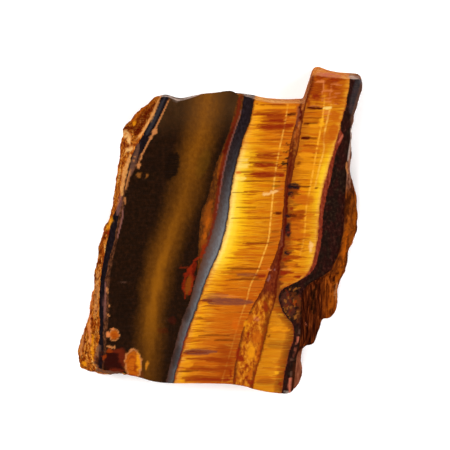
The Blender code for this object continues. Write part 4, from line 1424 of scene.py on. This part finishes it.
def make_floor():
    """A pale studio table."""
    mesh = bpy.data.meshes.new("studio_floor")
    half = 3.0
    mesh.from_pydata([(-half, -half, 0), (half, -half, 0), (half, half, 0), (-half, half, 0)],
                     [], [(0, 1, 2, 3)])
    floor = bpy.data.objects.new("studio_floor", mesh)
    material = bpy.data.materials.new("studio_white")
    material.use_nodes = True
    shader = material.node_tree.nodes["Principled BSDF"]
    shader.inputs["Base Color"].default_value = (0.95, 0.95, 0.95, 1.0)
    shader.inputs["Roughness"].default_value = 0.8
    shader.inputs["Emission Color"].default_value = (1.0, 1.0, 1.0, 1.0)
    shader.inputs["Emission Strength"].default_value = 0.15
    mesh.materials.append(material)
    bpy.context.scene.collection.objects.link(floor)


def add_softbox(name, place, power):
    """A round softbox that faces the stone. The place is in metres."""
    light = bpy.data.lights.new(name, "AREA")
    light.shape = "DISK"
    light.size = SOFTBOX_SIZE
    light.energy = power
    box = bpy.data.objects.new(name, light)
    box.location = place
    box.rotation_euler = Vector(place).to_track_quat("Z", "Y").to_euler()
    box.visible_camera = False
    bpy.context.scene.collection.objects.link(box)


def light_studio():
    """Soft light from round about, and little from straight above."""
    add_softbox("key_light", (-0.58, 0.58, 1.32), 20.5)
    add_softbox("fill_light_east", (0.95, 0.3, 1.1), 13.5)
    add_softbox("fill_light_south", (-0.1, -1.0, 1.1), 11.0)
    world = bpy.data.worlds.new("studio")
    world.use_nodes = True
    nodes = Nodes(world.node_tree)
    direction = nodes.add("TexCoord").outputs["Generated"]
    height = nodes.add("SeparateXYZ", {0: direction}).outputs[2]
    strength = nodes.step(height, 0.1, 0.8, 1.0, 0.02)
    background = world.node_tree.nodes["Background"]
    background.inputs["Color"].default_value = (1.0, 1.0, 1.0, 1.0)
    nodes.feed(background.inputs["Strength"], strength)
    bpy.context.scene.world = world
    bpy.context.scene.view_settings.view_transform = "Standard"


def place_camera():
    """The camera, tilted from the vertical towards the north."""
    camera = bpy.data.cameras.new("camera")
    camera.lens = CAMERA_LENS
    camera.sensor_width = CAMERA_SENSOR
    camera.clip_end = 10.0
    holder = bpy.data.objects.new("camera", camera)
    away = Vector((0.0, sin(CAMERA_TILT), cos(CAMERA_TILT))) * CAMERA_DISTANCE
    holder.location = (Vector(CAMERA_TARGET) + away) * MM
    holder.rotation_euler = (-CAMERA_TILT, 0.0, 0.0)
    bpy.context.scene.collection.objects.link(holder)
    bpy.context.scene.camera = holder


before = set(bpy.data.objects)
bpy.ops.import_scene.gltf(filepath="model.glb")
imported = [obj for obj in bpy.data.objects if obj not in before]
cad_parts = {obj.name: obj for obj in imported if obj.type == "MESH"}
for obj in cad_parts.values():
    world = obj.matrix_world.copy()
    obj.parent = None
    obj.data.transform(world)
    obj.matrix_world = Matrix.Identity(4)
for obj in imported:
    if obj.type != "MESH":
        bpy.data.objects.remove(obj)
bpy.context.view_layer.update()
make_stone(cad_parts["stone"])
make_floor()
light_studio()
place_camera()
